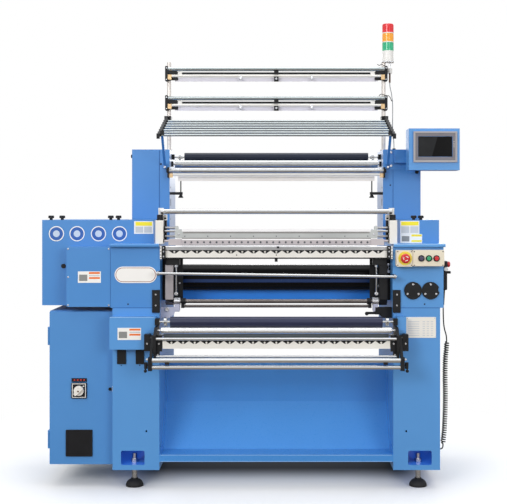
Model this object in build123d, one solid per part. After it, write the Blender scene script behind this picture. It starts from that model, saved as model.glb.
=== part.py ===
from build123d import *
import math
import os

# Crochet knitting machine, in millimetres.
# Working frame: X = 0 in the middle of the knitting field, Y = 0 at the housing fronts with +Y to the
# back, Z = 0 at the floor. Ranges are (low, high). At the end everything moves so that the origin is at
# the middle of the base. A distance "across" is measured from X = 0 and used on both sides.

# Frame and housings
FIELD = 512.0                 # across: inner faces of the gear housings
LEG_X = (515.0, 721.0)
LEG_Y = (0.0, 640.0)
LEG_Z = (84.0, 798.0)
LEG_WALL = 6.0
FOOT_WINDOW_X = (580.0, 684.0)
FOOT_WINDOW_Z = (106.0, 169.0)
LEG_SHELF = (172.0, 178.0)
FOOT_X = 632.0
FOOT_Y = (62.0, 578.0)
FOOT_PAD = 78.0
STUD = 22.0
HOUSING_Y = (0.0, 700.0)
HOUSING_Z = (798.0, 1066.0)
HOUSING_WALL = 8.0
LEFT_HOUSING_OUTER = 730.0
RIGHT_HOUSING_OUTER = 736.0
LEDGE_Z = (1066.0, 1080.0)
LEDGE_LIP = 25.0
TOWER_X = (514.0, 695.0)
TOWER_Y = (426.0, 704.0)
TOWER_TOP = 1521.0
UPPER_BOX_Y = 80.0
UPPER_BOX_TOP = 1184.0

# Pattern drive and cabinet
DRIVE_X = (-1049.0, -731.0)
DRIVE_Y = (80.0, 560.0)
DRIVE_Z = (802.0, 1184.0)
CABINET_X = (-1009.0, -721.0)
CABINET_Y = (60.0, 560.0)
CABINET_Z = (98.0, 779.0)
CABINET_WALL = 4.0
DOOR_X = (-1007.0, -724.0)
DOOR_Y = (40.0, 59.5)
DOOR_Z = (100.0, 777.0)
DOOR_AXIS = (-1013.0, 54.0)
LOCK = (-738.0, 434.0)
LOCK_CAM = 11.0
SWITCH = (-875.0, 428.0)
FAN = (-875.0, 194.5)

# Needle bar and its drive
ROCKER = (60.0, 822.0)        # Y, Z of the rocking shaft
ROCKER_SHAFT = 18.0
NEEDLE_BAR_X = 488.0
NEEDLE_TOP = 1070.0
COMB_PITCH = 50.0
COMB_NOTCHES = 19
MAIN_SHAFT = (235.0, 916.0)
MAIN_SHAFT_DIA = 40.0
ECCENTRICITY = 2.0
GUIDE_X = 418.0
WEFT_RODS = ((40.0, 1150.0), (28.0, 1135.0), (40.0, 1112.0))
GUIDE_ROD = (20.0, 1092.0)
SLIDE_ROD = 10.0
START_ROD_Y = -50.0
START_ROD_Z = (952.0, 937.6)
START_ROD_X = (-522.0, 524.0)
ROD_EYE = 516.0

# Take-down
PULL_ROLLER = (-60.0, 742.9)
PULL_RADIUS = 22.4
PRESS_RADIUS = 15.0
RETURN_RADIUS = 16.0
NIP = 0.4
ROLLER_SHAFT = 10.0
COVER_INNER = 526.0
SIDE_PLATE = (514.0, 526.0)
FRAME_AXIS = (-80.0, 676.0)
FLANGE_Y = (-120.0, -112.0)
LOWER_COMB_Z = (633.5, 666.0)

# Yarn feed and creel
FEED_ROLLER = (530.0, 1490.5)
FEED_RADIUS = 20.0
CHROME_RADIUS = 20.5
POST = (531.0, 565.0)
POST_DIA = 20.0
POST_TOP = 1960.0
STATION_STEP = 144.0
RACK_NEAR = (148.0, 1566.0)
RACK_FAR = (548.0, 1690.0)
RACK_RODS = 7
RACK_END = 0.95               # share of the rack's rise where its side bars end in the post clamps
LAMP = (553.0, 565.0)
LAMP_DIA = 54.0
LAMP_LEAD = (563.0, 575.0)

# Controls
CONTROL_FRONT = -52.0
BUTTON_Z = 1018.0
ESTOP = (560.5, 1018.0)
BUTTONS = {"button_black": 631.0, "button_green": 664.0, "button_red": 697.0}
PANEL_X = (614.0, 850.0)
PANEL_Y = (235.0, 343.0)
PANEL_Z = (1414.0, 1607.0)
PANEL_AXIS = (738.0, 384.0)
PENDANT_Y = 75.0
PENDANT_HEAD = 29.6           # from the housing's side to the back of the stop button's head

RUNNING = 0.05                # radial clearance of a running fit
LEAD_DIA = 7.0
CURL_DIA = 24.0
CORD_END = 725.0
CORD_TOP = 746.5
LAMP_LEAD_DIA = 4.0

nodes = {}


def block(x, y, z):
    """Box over three (low, high) ranges."""
    size = (x[1] - x[0], y[1] - y[0], z[1] - z[0])
    return Pos((x[0] + x[1]) / 2, (y[0] + y[1]) / 2, (z[0] + z[1]) / 2) * Box(*size)


def bar_x(x, y, z, dia):
    """Round bar along X."""
    return Pos((x[0] + x[1]) / 2, y, z) * Rot(0, 90, 0) * Cylinder(dia / 2, x[1] - x[0])


def bar_y(x, y, z, dia):
    """Round bar along Y."""
    return Pos(x, (y[0] + y[1]) / 2, z) * Rot(90, 0, 0) * Cylinder(dia / 2, y[1] - y[0])


def bar_z(x, y, z, dia):
    """Round bar along Z."""
    return Pos(x, y, (z[0] + z[1]) / 2) * Cylinder(dia / 2, z[1] - z[0])


def plate_x(outline, x):
    """Plate with an outline of (y, z) points, over an X range."""
    wire = Polyline(*[(x[0], y, z) for y, z in outline], close=True)
    return extrude(make_face(wire), amount=x[1] - x[0], dir=(1, 0, 0))


def plate_y(outline, y):
    """Plate with an outline of (x, z) points, over a Y range."""
    wire = Polyline(*[(x, y[0], z) for x, z in outline], close=True)
    return extrude(make_face(wire), amount=y[1] - y[0], dir=(0, 1, 0))


def rounded_y(x, y, z, radius):
    """Block with its four edges along Y rounded."""
    return fillet(block(x, y, z).edges().filter_by(Axis.Y), radius)


def square_y(centre, half, y):
    """Square block round an (x, z) centre, over a Y range."""
    return block((centre[0] - half, centre[0] + half), y, (centre[1] - half, centre[1] + half))


def other(shape):
    """The same piece on the other side of X = 0."""
    return mirror(shape, about=Plane.YZ)


def both(*shapes):
    """Each piece and its twin on the left."""
    return [side for shape in shapes for side in (shape, other(shape))]


def span(x):
    """Range from -x to x."""
    return (-x, x)


def hollow(x, y, z, wall):
    """Closed box of sheet."""
    inner = [(low + wall, high - wall) for low, high in (x, y, z)]
    return block(x, y, z) - block(*inner)


def keep(name, *shapes):
    """Register the solids of one sub-part."""
    solids = [solid for shape in shapes for solid in shape.solids()]
    nodes[name] = solids


# Legs, feet and housings

def leg():
    """Right leg: hollow column with a thick foot flange, a shelf over the feet and a window at each."""
    shell = hollow(LEG_X, LEG_Y, LEG_Z, LEG_WALL)
    flange = block((LEG_X[0] + LEG_WALL, LEG_X[1] - LEG_WALL),
                   (LEG_Y[0] + LEG_WALL, LEG_Y[1] - LEG_WALL),
                   (LEG_Z[0] + LEG_WALL, FOOT_WINDOW_Z[0]))
    shelf = block((LEG_X[0] + 1, LEG_X[1] - 1), (LEG_Y[0] + 1, LEG_Y[1] - 1), LEG_SHELF)
    window = rounded_y(FOOT_WINDOW_X, (LEG_Y[0] - 1, LEG_Y[1] + 1), FOOT_WINDOW_Z, 8.0)
    shape = shell + flange + shelf - window
    for y in FOOT_Y:
        shape -= bar_z(FOOT_X, y, (LEG_Z[0] - 1, FOOT_WINDOW_Z[0] + 1), STUD)
    return shape - bar_y(572.0, (LEG_Y[0] - 1, LEG_Y[0] + LEG_WALL + 1), 255.0, 9.0)


def levelling_foot(x, y):
    """Domed pad on a stud, with a lock nut under and over the leg flange."""
    profile = Polyline((0, 0), (FOOT_PAD / 2, 0), (FOOT_PAD / 2, 7))
    profile += ThreePointArc((FOOT_PAD / 2, 7), (30, 23), (15, 31))
    profile += Polyline((15, 31), (15, 36), (0, 36), (0, 0))
    pad = revolve(Plane.XZ * make_face(profile), axis=Axis.Z)
    stud = bar_z(0, 0, (35, 146), STUD)
    nut = extrude(RegularPolygon(17, 6), amount=16)
    lower = Pos(0, 0, LEG_Z[0] - 16) * nut
    upper = Pos(0, 0, FOOT_WINDOW_Z[0]) * nut
    return Pos(x, y, 0) * (pad + stud + lower + upper)


def gear_housing(outer, ledge_outer):
    """Right gear housing with its folded ledge and the bore of the main shaft in its inner wall."""
    shape = hollow((FIELD, outer), HOUSING_Y, HOUSING_Z, HOUSING_WALL)
    shape -= bar_x((FIELD - 1, FIELD + HOUSING_WALL + 1), *MAIN_SHAFT, MAIN_SHAFT_DIA + 2 * RUNNING)
    lid = block((LEG_X[0], ledge_outer), (-LEDGE_LIP, TOWER_Y[1]), LEDGE_Z)
    lid = chamfer(lid.edges().filter_by(Axis.X).sort_by(Axis.Y)[:2], 3.0)
    return shape + lid


keep("right_leg", leg())
keep("left_leg", other(leg()))
keep("levelling_feet", *[levelling_foot(x, y) for x in (-FOOT_X, FOOT_X) for y in FOOT_Y])

right_upper_box = hollow((553.0, 729.0), (UPPER_BOX_Y, TOWER_Y[0] - 2), (LEDGE_Z[1], UPPER_BOX_TOP), 5.0)
keep("right_gear_housing", gear_housing(RIGHT_HOUSING_OUTER, RIGHT_HOUSING_OUTER + 5) + right_upper_box)
keep("left_gear_housing", other(gear_housing(LEFT_HOUSING_OUTER, LEFT_HOUSING_OUTER)))

drive_outer = block(DRIVE_X, DRIVE_Y, DRIVE_Z)
drive_outer += block((DRIVE_X[1], -548.0), (DRIVE_Y[0], TOWER_Y[0] - 2), (LEDGE_Z[1], DRIVE_Z[1]))
drive_inner = block((DRIVE_X[0] + 5, DRIVE_X[1] - 5), (DRIVE_Y[0] + 5, DRIVE_Y[1] - 5),
                    (DRIVE_Z[0] + 5, DRIVE_Z[1] - 5))
drive_inner += block((DRIVE_X[1] - 6, -553.0), (DRIVE_Y[0] + 5, TOWER_Y[0] - 7),
                     (LEDGE_Z[1] + 5, DRIVE_Z[1] - 5))
keep("pattern_drive_box", drive_outer - drive_inner)

cover_outer = rounded_y((-924.0, -731.0), (2.0, DRIVE_Y[0]), (802.0, 1065.0), 4.0)
cover_inner = block((-921.0, -734.0), (5.0, DRIVE_Y[0] + 1), (805.0, 1062.0))
keep("pattern_drive_cover", cover_outer - cover_inner)


def tower():
    """Right tower: hollow column with a screwed front cover sheet."""
    shape = hollow(TOWER_X, TOWER_Y, (LEDGE_Z[1], TOWER_TOP), LEG_WALL)
    cover = block((563.0, 693.0), (TOWER_Y[0] - 2, TOWER_Y[0]), (UPPER_BOX_TOP + 2, TOWER_TOP - 2))
    return shape + cover


keep("right_tower", tower())
keep("left_tower", other(tower()))

# Electrical cabinet


def cabinet_shell():
    """Sheet cabinet, open at the front inside a narrow flange, with two hinge lugs."""
    wall = CABINET_WALL
    shell = block(CABINET_X, CABINET_Y, CABINET_Z)
    shell -= block((CABINET_X[0] + wall, CABINET_X[1] - wall), (CABINET_Y[0] + 3, CABINET_Y[1] - wall),
                   (CABINET_Z[0] + wall, CABINET_Z[1] - wall))
    shell -= block((CABINET_X[0] + 10, CABINET_X[1] - 10), (CABINET_Y[0] - 1, CABINET_Y[0] + 5),
                   (CABINET_Z[0] + 14, CABINET_Z[1] - 14))
    for z in HINGES:
        for low in (z - 12, z + HINGE_LENGTH + 1):
            lug = bar_z(*DOOR_AXIS, (low, low + 11), 10.0)
            lug += block((DOOR_AXIS[0] - 5, CABINET_X[0]), (DOOR_AXIS[1], 80.0), (low, low + 11))
            shell += lug
        shell += bar_z(*DOOR_AXIS, (z - 2, z + HINGE_LENGTH + 2), 5.0)
    return shell


def cabinet_door():
    """Pan door with a folded rim and two hinge barrels at its left edge."""
    door = rounded_y(DOOR_X, DOOR_Y, DOOR_Z, 3.0)
    door -= block((DOOR_X[0] + 3, DOOR_X[1] - 3), (DOOR_Y[0] + 3, DOOR_Y[1] + 1),
                  (DOOR_Z[0] + 3, DOOR_Z[1] - 3))
    for z in HINGES:
        barrel = bar_z(*DOOR_AXIS, (z, z + HINGE_LENGTH), 10.0)
        barrel += block((DOOR_AXIS[0] + 2, DOOR_X[0] + 3), (DOOR_AXIS[1] - 4, DOOR_AXIS[1] + 4),
                        (z, z + HINGE_LENGTH))
        door += barrel
        door -= bar_z(*DOOR_AXIS, (z - 1, z + HINGE_LENGTH + 1), 5.0 + 2 * RUNNING)
    for x, z, dia in ((*LOCK, 10.0), (*SWITCH, 8.0)):
        door -= bar_y(x, (DOOR_Y[0] - 1, DOOR_Y[0] + 4), z, dia + 2 * RUNNING)
    return door - square_y(FAN, 50.0, (DOOR_Y[0] - 1, DOOR_Y[0] + 4))


def fan_grille():
    """Square frame of the door fan with its recessed filter."""
    half = 59.0
    grille = square_y(FAN, half, (DOOR_Y[0] - 6, DOOR_Y[0]))
    grille = fillet(grille.edges().filter_by(Axis.Y), 4.0)
    return grille - square_y(FAN, half - 7.0, (DOOR_Y[0] - 7, DOOR_Y[0] - 4))


def switch_plate():
    """Square plate of the main switch, bored for its spindle, and the strip above it."""
    x, z = SWITCH
    plate = rounded_y((x - 34, x + 34), (DOOR_Y[0] - 8, DOOR_Y[0]), (z - 35, z + 35), 3.0)
    plate -= bar_y(x, (DOOR_Y[0] - 9, DOOR_Y[0] + 1), z, 8.0 + 2 * RUNNING)
    strip = block((x - 34, x + 34), (DOOR_Y[0] - 2, DOOR_Y[0]), (z + 38, z + 54))
    return [plate, strip]


def switch_handle():
    """Rotary grip on a round base with its spindle."""
    x, z = SWITCH
    front = DOOR_Y[0] - 8
    base = bar_y(x, (front - 8, front - 0.5), z, 44.0)
    grip = rounded_y((x - 7, x + 7), (front - 22, front - 8), (z - 24, z + 24), 5.0)
    grip = Pos(x, 0, z) * Rot(0, 45, 0) * Pos(-x, 0, -z) * grip
    return base + grip + bar_y(x, (front - 1, DOOR_Y[0] + 12), z, 8.0)


def door_lock():
    """Quarter-turn lock: slotted head, spindle and cam."""
    x, z = LOCK
    head = bar_y(x, (DOOR_Y[0] - 6, DOOR_Y[0] - 0.4), z, 14.0)
    head -= block((x - 5, x + 5), (DOOR_Y[0] - 7, DOOR_Y[0] - 3), (z - 1.5, z + 1.5))
    spindle = bar_y(x, (DOOR_Y[0] - 1, 70.0), z, 10.0)
    cam = block((x - 5, x + 5), (66.0, 70.0), (z - LOCK_CAM, z))
    return head + spindle + cam


def control_modules():
    """Back plate with the inverter, controller, contactors, transformer and terminal rail."""
    back = CABINET_Y[1] - CABINET_WALL
    plate = block((-992.0, -736.0), (back - 3, back), (130.0, 750.0))
    front = back - 3
    modules = [block((-980.0, -850.0), (front - 130, front), (520.0, 730.0)),
               block((-835.0, -750.0), (front - 80, front), (600.0, 730.0)),
               block((-980.0, -760.0), (front - 8, front), (455.0, 490.0)),
               block((-980.0, -750.0), (front - 45, front), (300.0, 340.0)),
               block((-960.0, -840.0), (front - 95, front), (150.0, 250.0))]
    contactors = [block((x, x + 45), (front - 88, front - 8), (430.0, 515.0))
                  for x in (-970.0, -915.0, -860.0)]
    return [plate] + modules + contactors


HINGES = (180.0, 640.0)
HINGE_LENGTH = 55.0
keep("cabinet_shell", cabinet_shell())
keep("cabinet_door", cabinet_door())
keep("door_fittings", fan_grille(), *switch_plate())
keep("switch_handle", switch_handle())
keep("door_lock", door_lock())
keep("control_modules", *control_modules())

# Between the legs

CHUTE_FLOOR = 115.0
CHUTE_BACK = 254.0
chute_outline = [(0, 120), (0, 151), (CHUTE_FLOOR, 151), (CHUTE_BACK, 341), (CHUTE_BACK, 537),
                 (CHUTE_BACK + 16, 537), (CHUTE_BACK + 16, 533), (CHUTE_BACK + 4, 533), (CHUTE_BACK + 4, 339),
                 (CHUTE_FLOOR + 2, 147), (4, 147), (4, 120)]
side_flange = [(14, 151), (CHUTE_FLOOR, 151), (CHUTE_BACK, 341), (CHUTE_BACK, 537), (CHUTE_BACK - 22, 537),
               (CHUTE_BACK - 22, 353), (CHUTE_FLOOR - 10, 179), (14, 179)]
chute = plate_x(chute_outline, span(LEG_X[0]))
for flange in both(plate_x(side_flange, (LEG_X[0] - 4, LEG_X[0]))):
    chute += flange
keep("band_chute", chute)
keep("main_beam", hollow(span(FIELD), (270.0, 400.0), (807.0, 955.0), 8.0))


def shaft_guard():
    """Closed guard with a rounded nose round the main shaft."""
    def body(inset):
        shape = block(span(485.0), (200.0 + inset, 270.0 - inset), (857.0 + inset, 976.0 - inset))
        return fillet(shape.edges().filter_by(Axis.X).sort_by(Axis.Y)[:2], 42.0 - inset)
    core = body(4.0)
    return body(0.0) - core - Pos(10, 0, 0) * core - Pos(-10, 0, 0) * core


drive_shields = both(block((420.0, FIELD), (96.0, 104.0), (824.0, 1010.0)))
keep("shaft_guard", shaft_guard(), *drive_shields)
main_shaft = bar_x(span(FIELD + HOUSING_WALL), *MAIN_SHAFT, MAIN_SHAFT_DIA)
for x in (-360.0, -120.0, 120.0, 360.0):
    main_shaft += bar_x((x - 12, x + 12), MAIN_SHAFT[0], MAIN_SHAFT[1] - ECCENTRICITY, 56.0)
keep("main_shaft", main_shaft)


# Needle bar

def toothed_plate(half, y, z, depth):
    """Plate whose top edge has a V notch with a flat bottom at each clamp."""
    outline = [(-half, z[0]), (half, z[0]), (half, z[1])]
    for i in reversed(range(COMB_NOTCHES)):
        centre = (i - (COMB_NOTCHES - 1) / 2) * COMB_PITCH
        for dx, dz in ((24.0, 0.0), (7.0, depth), (-7.0, depth), (-24.0, 0.0)):
            outline.append((centre + dx, z[1] - dz))
    outline.append((-half, z[1]))
    return plate_y(outline, y)


def needle_clamps():
    """Clamp bar behind the comb plate with its end blocks."""
    bar = block(span(NEEDLE_BAR_X), (11.0, 45.0), (1013.0, 1052.0))
    end = block((NEEDLE_BAR_X, 504.0), (-8.0, 45.0), (1013.0, NEEDLE_TOP))
    boss = block((428.0, NEEDLE_BAR_X), (25.0, 60.0), (985.0, 1013.0))
    for extra in both(end, boss):
        bar += extra
    return bar


def rocker():
    """Rocking shaft with its two arms, the cross tube under it and the two link rods."""
    shaft = bar_x(span(494.0), *ROCKER, ROCKER_SHAFT)
    arm = block((457.0, 492.0), (30.0, 50.0), (832.0, 985.0)) + bar_x((457.0, 492.0), *ROCKER, 34.0)
    arm += plate_x([(30, 832), (50, 832), (72, 826), (60, 810), (44, 815)], (457.0, 492.0))
    lug = block((410.0, 424.0), (52.0, 68.0), (792.0, 830.0)) + bar_x((404.0, 424.0), *ROCKER, 28.0)
    link = bar_z(443.0, 28.0, (858.0, 985.0), 8.0) + bar_x((437.0, 449.0), 28.0, 858.0, 14.0)
    for side in both(arm, lug):
        shaft += side
    shaft += bar_x(span(412.0), ROCKER[0], 800.0, 13.0)
    return [shaft] + both(link)


def rocker_bearing():
    """Hub of the rocking shaft on its bracket from the leg."""
    hub = bar_x((428.0, 454.0), *ROCKER, 36.0)
    outline = [(432, 776), (432, 797), (LEG_X[0], 797), (LEG_X[0], 748), (474, 748), (456, 764), (452, 776)]
    bracket = plate_y(outline, (50.0, 62.0))
    saddle = block((430.0, 452.0), (46.0, 74.0), (780.0, 812.0))
    return hub + bracket + saddle - bar_x((420.0, 460.0), *ROCKER, ROCKER_SHAFT + 2 * RUNNING)


keep("clamp_bar", needle_clamps())
keep("comb_plate", toothed_plate(NEEDLE_BAR_X, (7.0, 11.0), (1019.0, 1049.5), 12.0),
     *both(block((504.0, 511.0), (-12.0, 20.0), (1013.0, NEEDLE_TOP))))
rail = block(span(NEEDLE_BAR_X), (3.0, 45.0), (1052.0, NEEDLE_TOP))
rail = chamfer(rail.edges().filter_by(Axis.X).group_by(Axis.Z)[-1], 4.0)
keep("needle_rail", rail)
keep("rocker_arms", *rocker())
keep("rocker_bearings", *both(rocker_bearing()))


def guide_plate():
    """Perforated yarn guide with end blocks and slide rods."""
    plate = block(span(GUIDE_X), (17.0, 23.0), (1073.0, 1096.0))
    holes = 30
    pitch = 2 * GUIDE_X / (holes + 0.08)
    for i in range(holes):
        plate -= bar_y((i - (holes - 1) / 2) * pitch, (16.0, 24.0), 1086.0, 7.0)
    end = block((GUIDE_X, 476.0), (12.0, 28.0), (1073.0, 1100.0))
    rod = bar_x((470.0, 512.0), *GUIDE_ROD, SLIDE_ROD)
    for side in both(end, rod):
        plate += side
    return plate


def weft_bar():
    """Weft carrier bar with rounded end lugs and three slide rods on each side."""
    bar = block(span(GUIDE_X), (16.0, 44.0), (1101.0, 1131.0))
    top = block(span(GUIDE_X - 2), (14.0, 46.0), (1131.0, 1142.0))
    lug = block((GUIDE_X - 6, 448.0), (14.0, 48.0), (1103.0, 1141.0))
    lug = fillet(lug.edges().filter_by(Axis.Y), 12.0)
    lug += fillet(block((434.0, 448.0), (30.0, 50.0), (1120.0, 1158.0)).edges().filter_by(Axis.Y), 4.0)
    bar += top
    for side in both(lug, *[bar_x((440.0, 516.0), y, z, SLIDE_ROD) for y, z in WEFT_RODS]):
        bar += side
    return bar


def weft_head():
    """Right weft head: hollow box with a rod bracket; the carrier rods run in its inner wall."""
    head = hollow((499.0, 532.0), (0.0, 70.0), (LEDGE_Z[1], 1183.0), 4.0)
    for y, z in WEFT_RODS + (GUIDE_ROD,):
        head -= bar_x((498.0, 504.0), y, z, SLIDE_ROD + 2 * RUNNING)
    bracket = block((502.0, 526.0), (59.5, 66.0), (1183.0, 1238.0))
    return head + bracket


keep("guide_plate", guide_plate())
keep("weft_bar", weft_bar())
keep("weft_heads", *both(weft_head()))


# Knobs on the lids, the weft heads and the adjusters

def lid_knob(x, y, z):
    """Mushroom knob on a collar."""
    cap = bar_z(x, y, (z + 8, z + 20), 26.0)
    return bar_z(x, y, (z, z + 10), 14.0) + fillet(cap.edges().group_by(Axis.Z)[-1], 4.0)


def head_knob(x, y, z):
    """Cylindrical knob with a flange."""
    return bar_z(x, y, (z, z + 5), 30.0) + bar_z(x, y, (z + 5, z + 25), 26.0)


LID_KNOBS = (-1016.0, -966.0, -747.0, -712.0, 620.0, 652.0)
keep("thumb_knobs", *[lid_knob(x, 115.0, UPPER_BOX_TOP) for x in LID_KNOBS],
     *both(head_knob(516.0, 32.0, 1183.0)))

# Start and stop rod
START_ROD_DIA = 12.0
rod_run = START_ROD_X[1] - START_ROD_X[0]
rod_fall = START_ROD_Z[0] - START_ROD_Z[1]
rod_middle = (sum(START_ROD_X) / 2, START_ROD_Y, sum(START_ROD_Z) / 2)


def tilted_rod(extra_length, dia):
    """Round bar on the start rod's own axis."""
    bar = Cylinder(dia / 2, math.hypot(rod_run, rod_fall) + extra_length)
    return Pos(*rod_middle) * Rot(0, 90 + math.degrees(math.atan2(rod_fall, rod_run)), 0) * bar


def rod_eye(x):
    """Bored block on a housing front that the start rod slides in."""
    z = rod_middle[2] - (x - rod_middle[0]) * rod_fall / rod_run
    eye = block((x - 4, x + 4), (-60.0, 0.0), (z - 9.5, z + 9.5))
    eye = fillet(eye.edges().filter_by(Axis.X).group_by(Axis.Y)[0], 8.0)
    return eye - tilted_rod(100.0, START_ROD_DIA + 2 * RUNNING)


keep("start_rod", tilted_rod(0.0, START_ROD_DIA))


# Black plates on the fronts

def bearing_cover(x, notch):
    """Round bearing cover with three screw heads; the right one has a flat bite in its edge."""
    cover = bar_y(x, (-7.0, 0.0), 874.0, 77.2)
    if notch:
        cover -= bar_y(x + 46, (-8.0, 1.0), 878.0, 26.0)
    for angle in (90, 210, 330):
        dx = 28 * math.cos(math.radians(angle))
        dz = 28 * math.sin(math.radians(angle))
        cover += bar_y(x + dx, (-9.0, -7.0), 874.0 + dz, 9.0)
    return cover


splice = rounded_y((FIELD, 546.0), (-8.0, 0.0), (777.0, 877.0), 2.0)
leg_plates = [rounded_y(x, (-6.0, 0.0), (551.0, 615.0), 2.0) for x in ((-700.0, -661.0), (-618.0, -582.0))]
plug = bar_y(-953.0, (DRIVE_Y[0] - 5, DRIVE_Y[0]), 978.0, 20.0)
cord_gland = bar_x((LEG_X[1], CORD_END), PENDANT_Y, 159.0, 16.0)
lead_gland = bar_z(584.0, 575.0, (TOWER_TOP, TOWER_TOP + 14), 16.0)
keep("front_plates", *both(splice), *leg_plates, bearing_cover(601.0, False), bearing_cover(678.5, True),
     plug, rod_eye(-ROD_EYE), rod_eye(ROD_EYE), cord_gland, lead_gland)


# Take-down

def direction(angle, length):
    """Offset of a given length at an angle above +Y, as (y, z)."""
    return (length * math.cos(math.radians(angle)), length * math.sin(math.radians(angle)))


def shifted(point, offset):
    """Point moved by an offset, as (y, z)."""
    return (point[0] + offset[0], point[1] + offset[1])


PRESS_ROLLER = shifted(PULL_ROLLER, direction(-105.0, PULL_RADIUS + PRESS_RADIUS + NIP))
RETURN_ROLLER = shifted(PRESS_ROLLER, direction(-45.0, PRESS_RADIUS + RETURN_RADIUS + NIP))


def roller(half, axis, radius, shaft_dia, shaft_half, collar=0.0):
    """Roller on a through shaft, with a collar on each side where it has one."""
    shape = bar_x(span(half), *axis, 2 * radius) + bar_x(span(shaft_half), *axis, shaft_dia)
    if collar:
        for ring in both(bar_x((half + 16, half + 27), *axis, collar)):
            shape += ring
    return shape


def side_plate():
    """Right side plate of the take-down with its front flange and the bores of the rollers."""
    outline = [(-5, 622), (-5, 722), (-90, 722), (-138, 690), (-138, 622), (-134, 594), (-100, 594),
               (-85, 622)]
    plate = plate_x(outline, SIDE_PLATE)
    plate += block((490.0, SIDE_PLATE[0]), FLANGE_Y, (622.0, 692.0))
    plate += block((500.0, SIDE_PLATE[0]), FLANGE_Y, (596.0, 622.0))
    for axis in (PRESS_ROLLER, RETURN_ROLLER, FRAME_AXIS):
        plate -= bar_x((SIDE_PLATE[0] - 1, SIDE_PLATE[1] + 1), *axis, ROLLER_SHAFT + 2 * RUNNING)
    return plate


def outer_plate():
    """Black block on the cover front that holds the outer end of the frame's pivot pin."""
    shape = rounded_y((544.0, 570.0), (-94.0, -60.0), (620.0, 692.0), 2.0)
    return shape - bar_x((540.0, 575.0), *FRAME_AXIS, ROLLER_SHAFT + 2 * RUNNING)


def pull_bearing():
    """Bearing block of the upper take-down roller."""
    y, z = PULL_ROLLER
    shape = block((508.0, COVER_INNER), (y - 15, y + 25), (z - 14, z + 14))
    return shape - bar_x((507.0, COVER_INNER + 1), y, z, ROLLER_SHAFT + 2 * RUNNING)


pull_roller = roller(460.0, PULL_ROLLER, PULL_RADIUS, ROLLER_SHAFT, 520.0, 38.0)
press_roller = roller(498.0, PRESS_ROLLER, PRESS_RADIUS, ROLLER_SHAFT, 524.0)
return_roller = roller(488.0, RETURN_ROLLER, RETURN_RADIUS, ROLLER_SHAFT, 524.0)
comb_bar = block(span(SIDE_PLATE[0]), (FLANGE_Y[1], FLANGE_Y[1] + 12), (638.0, 668.5))
left_cover = rounded_y((-725.0, -COVER_INNER), (-60.0, 0.0), (622.0, 763.0), 4.0)
right_cover = rounded_y((COVER_INNER, 564.0), (-60.0, 0.0), (622.0, 763.0), 4.0)
keep("take_down_cover", left_cover, right_cover)
keep("take_down_brackets", *both(side_plate(), outer_plate(), pull_bearing()), comb_bar)
keep("take_down_roller", pull_roller)
keep("press_roller", press_roller)
keep("return_roller", return_roller)
keep("lower_comb", toothed_plate(488.0, (FLANGE_Y[1] - 4, FLANGE_Y[1]), LOWER_COMB_Z, 12.0))

# Hinged front frame
FRAME_Y = -150.0
FRAME_TUBES = ((587.5, 20.8), (558.0, 18.5))
FRAME_LEVER = (529.0, 541.0)


def frame_lever():
    """Right lever of the front frame: bar from the pin to the end block, with its clamp knob."""
    top_y, top_z = FRAME_AXIS
    low, high = FRAME_LEVER
    angle = math.degrees(math.atan2(top_z - 580, top_y - FRAME_Y))
    length = math.dist(FRAME_AXIS, (FRAME_Y, 580))
    middle = Pos((low + high) / 2, (top_y + FRAME_Y) / 2, (top_z + 580) / 2)
    lever = middle * Rot(angle, 0, 0) * Box(high - low, length, 20)
    lever += bar_x(FRAME_LEVER, top_y, top_z, 24.0) + bar_x((516.0, 566.0), top_y, top_z, ROLLER_SHAFT)
    end = block((low - 0.5, high + 4), (FRAME_Y - 14, FRAME_Y + 14), (544.0, 602.0))
    lever += fillet(end.edges().filter_by(Axis.X), 4.0)
    lever += bar_x((545.0, 552.0), FRAME_Y, 568.0, 8.0) + bar_z(555.0, FRAME_Y, (553.0, 580.0), 15.0)
    lever += bar_z(557.0, FRAME_Y, (543.0, 556.0), 6.0) + Pos(557.0, FRAME_Y, 543.0) * Sphere(7.0)
    return lever + bar_x((545.0, 548.0), FRAME_Y, 592.0, 5.0) + Pos(550.0, FRAME_Y, 592.0) * Sphere(4.5)


keep("frame_levers", *both(frame_lever()))
keep("frame_tubes", *[bar_x(span(FRAME_LEVER[0] - 0.5), FRAME_Y, z, dia) for z, dia in FRAME_TUBES])

# Yarn feed between the towers
nip_drop = 36.3
nip_reach = math.sqrt((FEED_RADIUS + CHROME_RADIUS + NIP) ** 2 - nip_drop ** 2)
CHROME_ROLLER = (FEED_ROLLER[0] - nip_reach, FEED_ROLLER[1] - nip_drop)
TENSION_TUBE = (405.0, 1417.8)
TENSION_ROD = (403.0, 1398.0)
CUT_STRIP = (437.0, 1380.3)
FEED_SHAFT = 12.0


def feed_bearing(axis, inner, half):
    """Bored block on a tower's inner face."""
    y, z = axis
    shape = block((inner, TOWER_X[0]), (y - half, y + half), (z - half, z + half))
    return shape - bar_x((inner - 1, TOWER_X[0] + 1), y, z, FEED_SHAFT + 2 * RUNNING)


def adjuster():
    """Right adjuster: arm from the tower with a screw up to the strip and a knob under it."""
    x = 461.0
    arm = block((452.0, TOWER_X[0]), (428.0, 446.0), (1303.0, 1316.0))
    knob = Pos(x, 437.0, 1295.5) * Cone(13, 6, 15)
    return arm + bar_z(x, 437.0, (1316.0, 1369.5), 6.0) + knob


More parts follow.
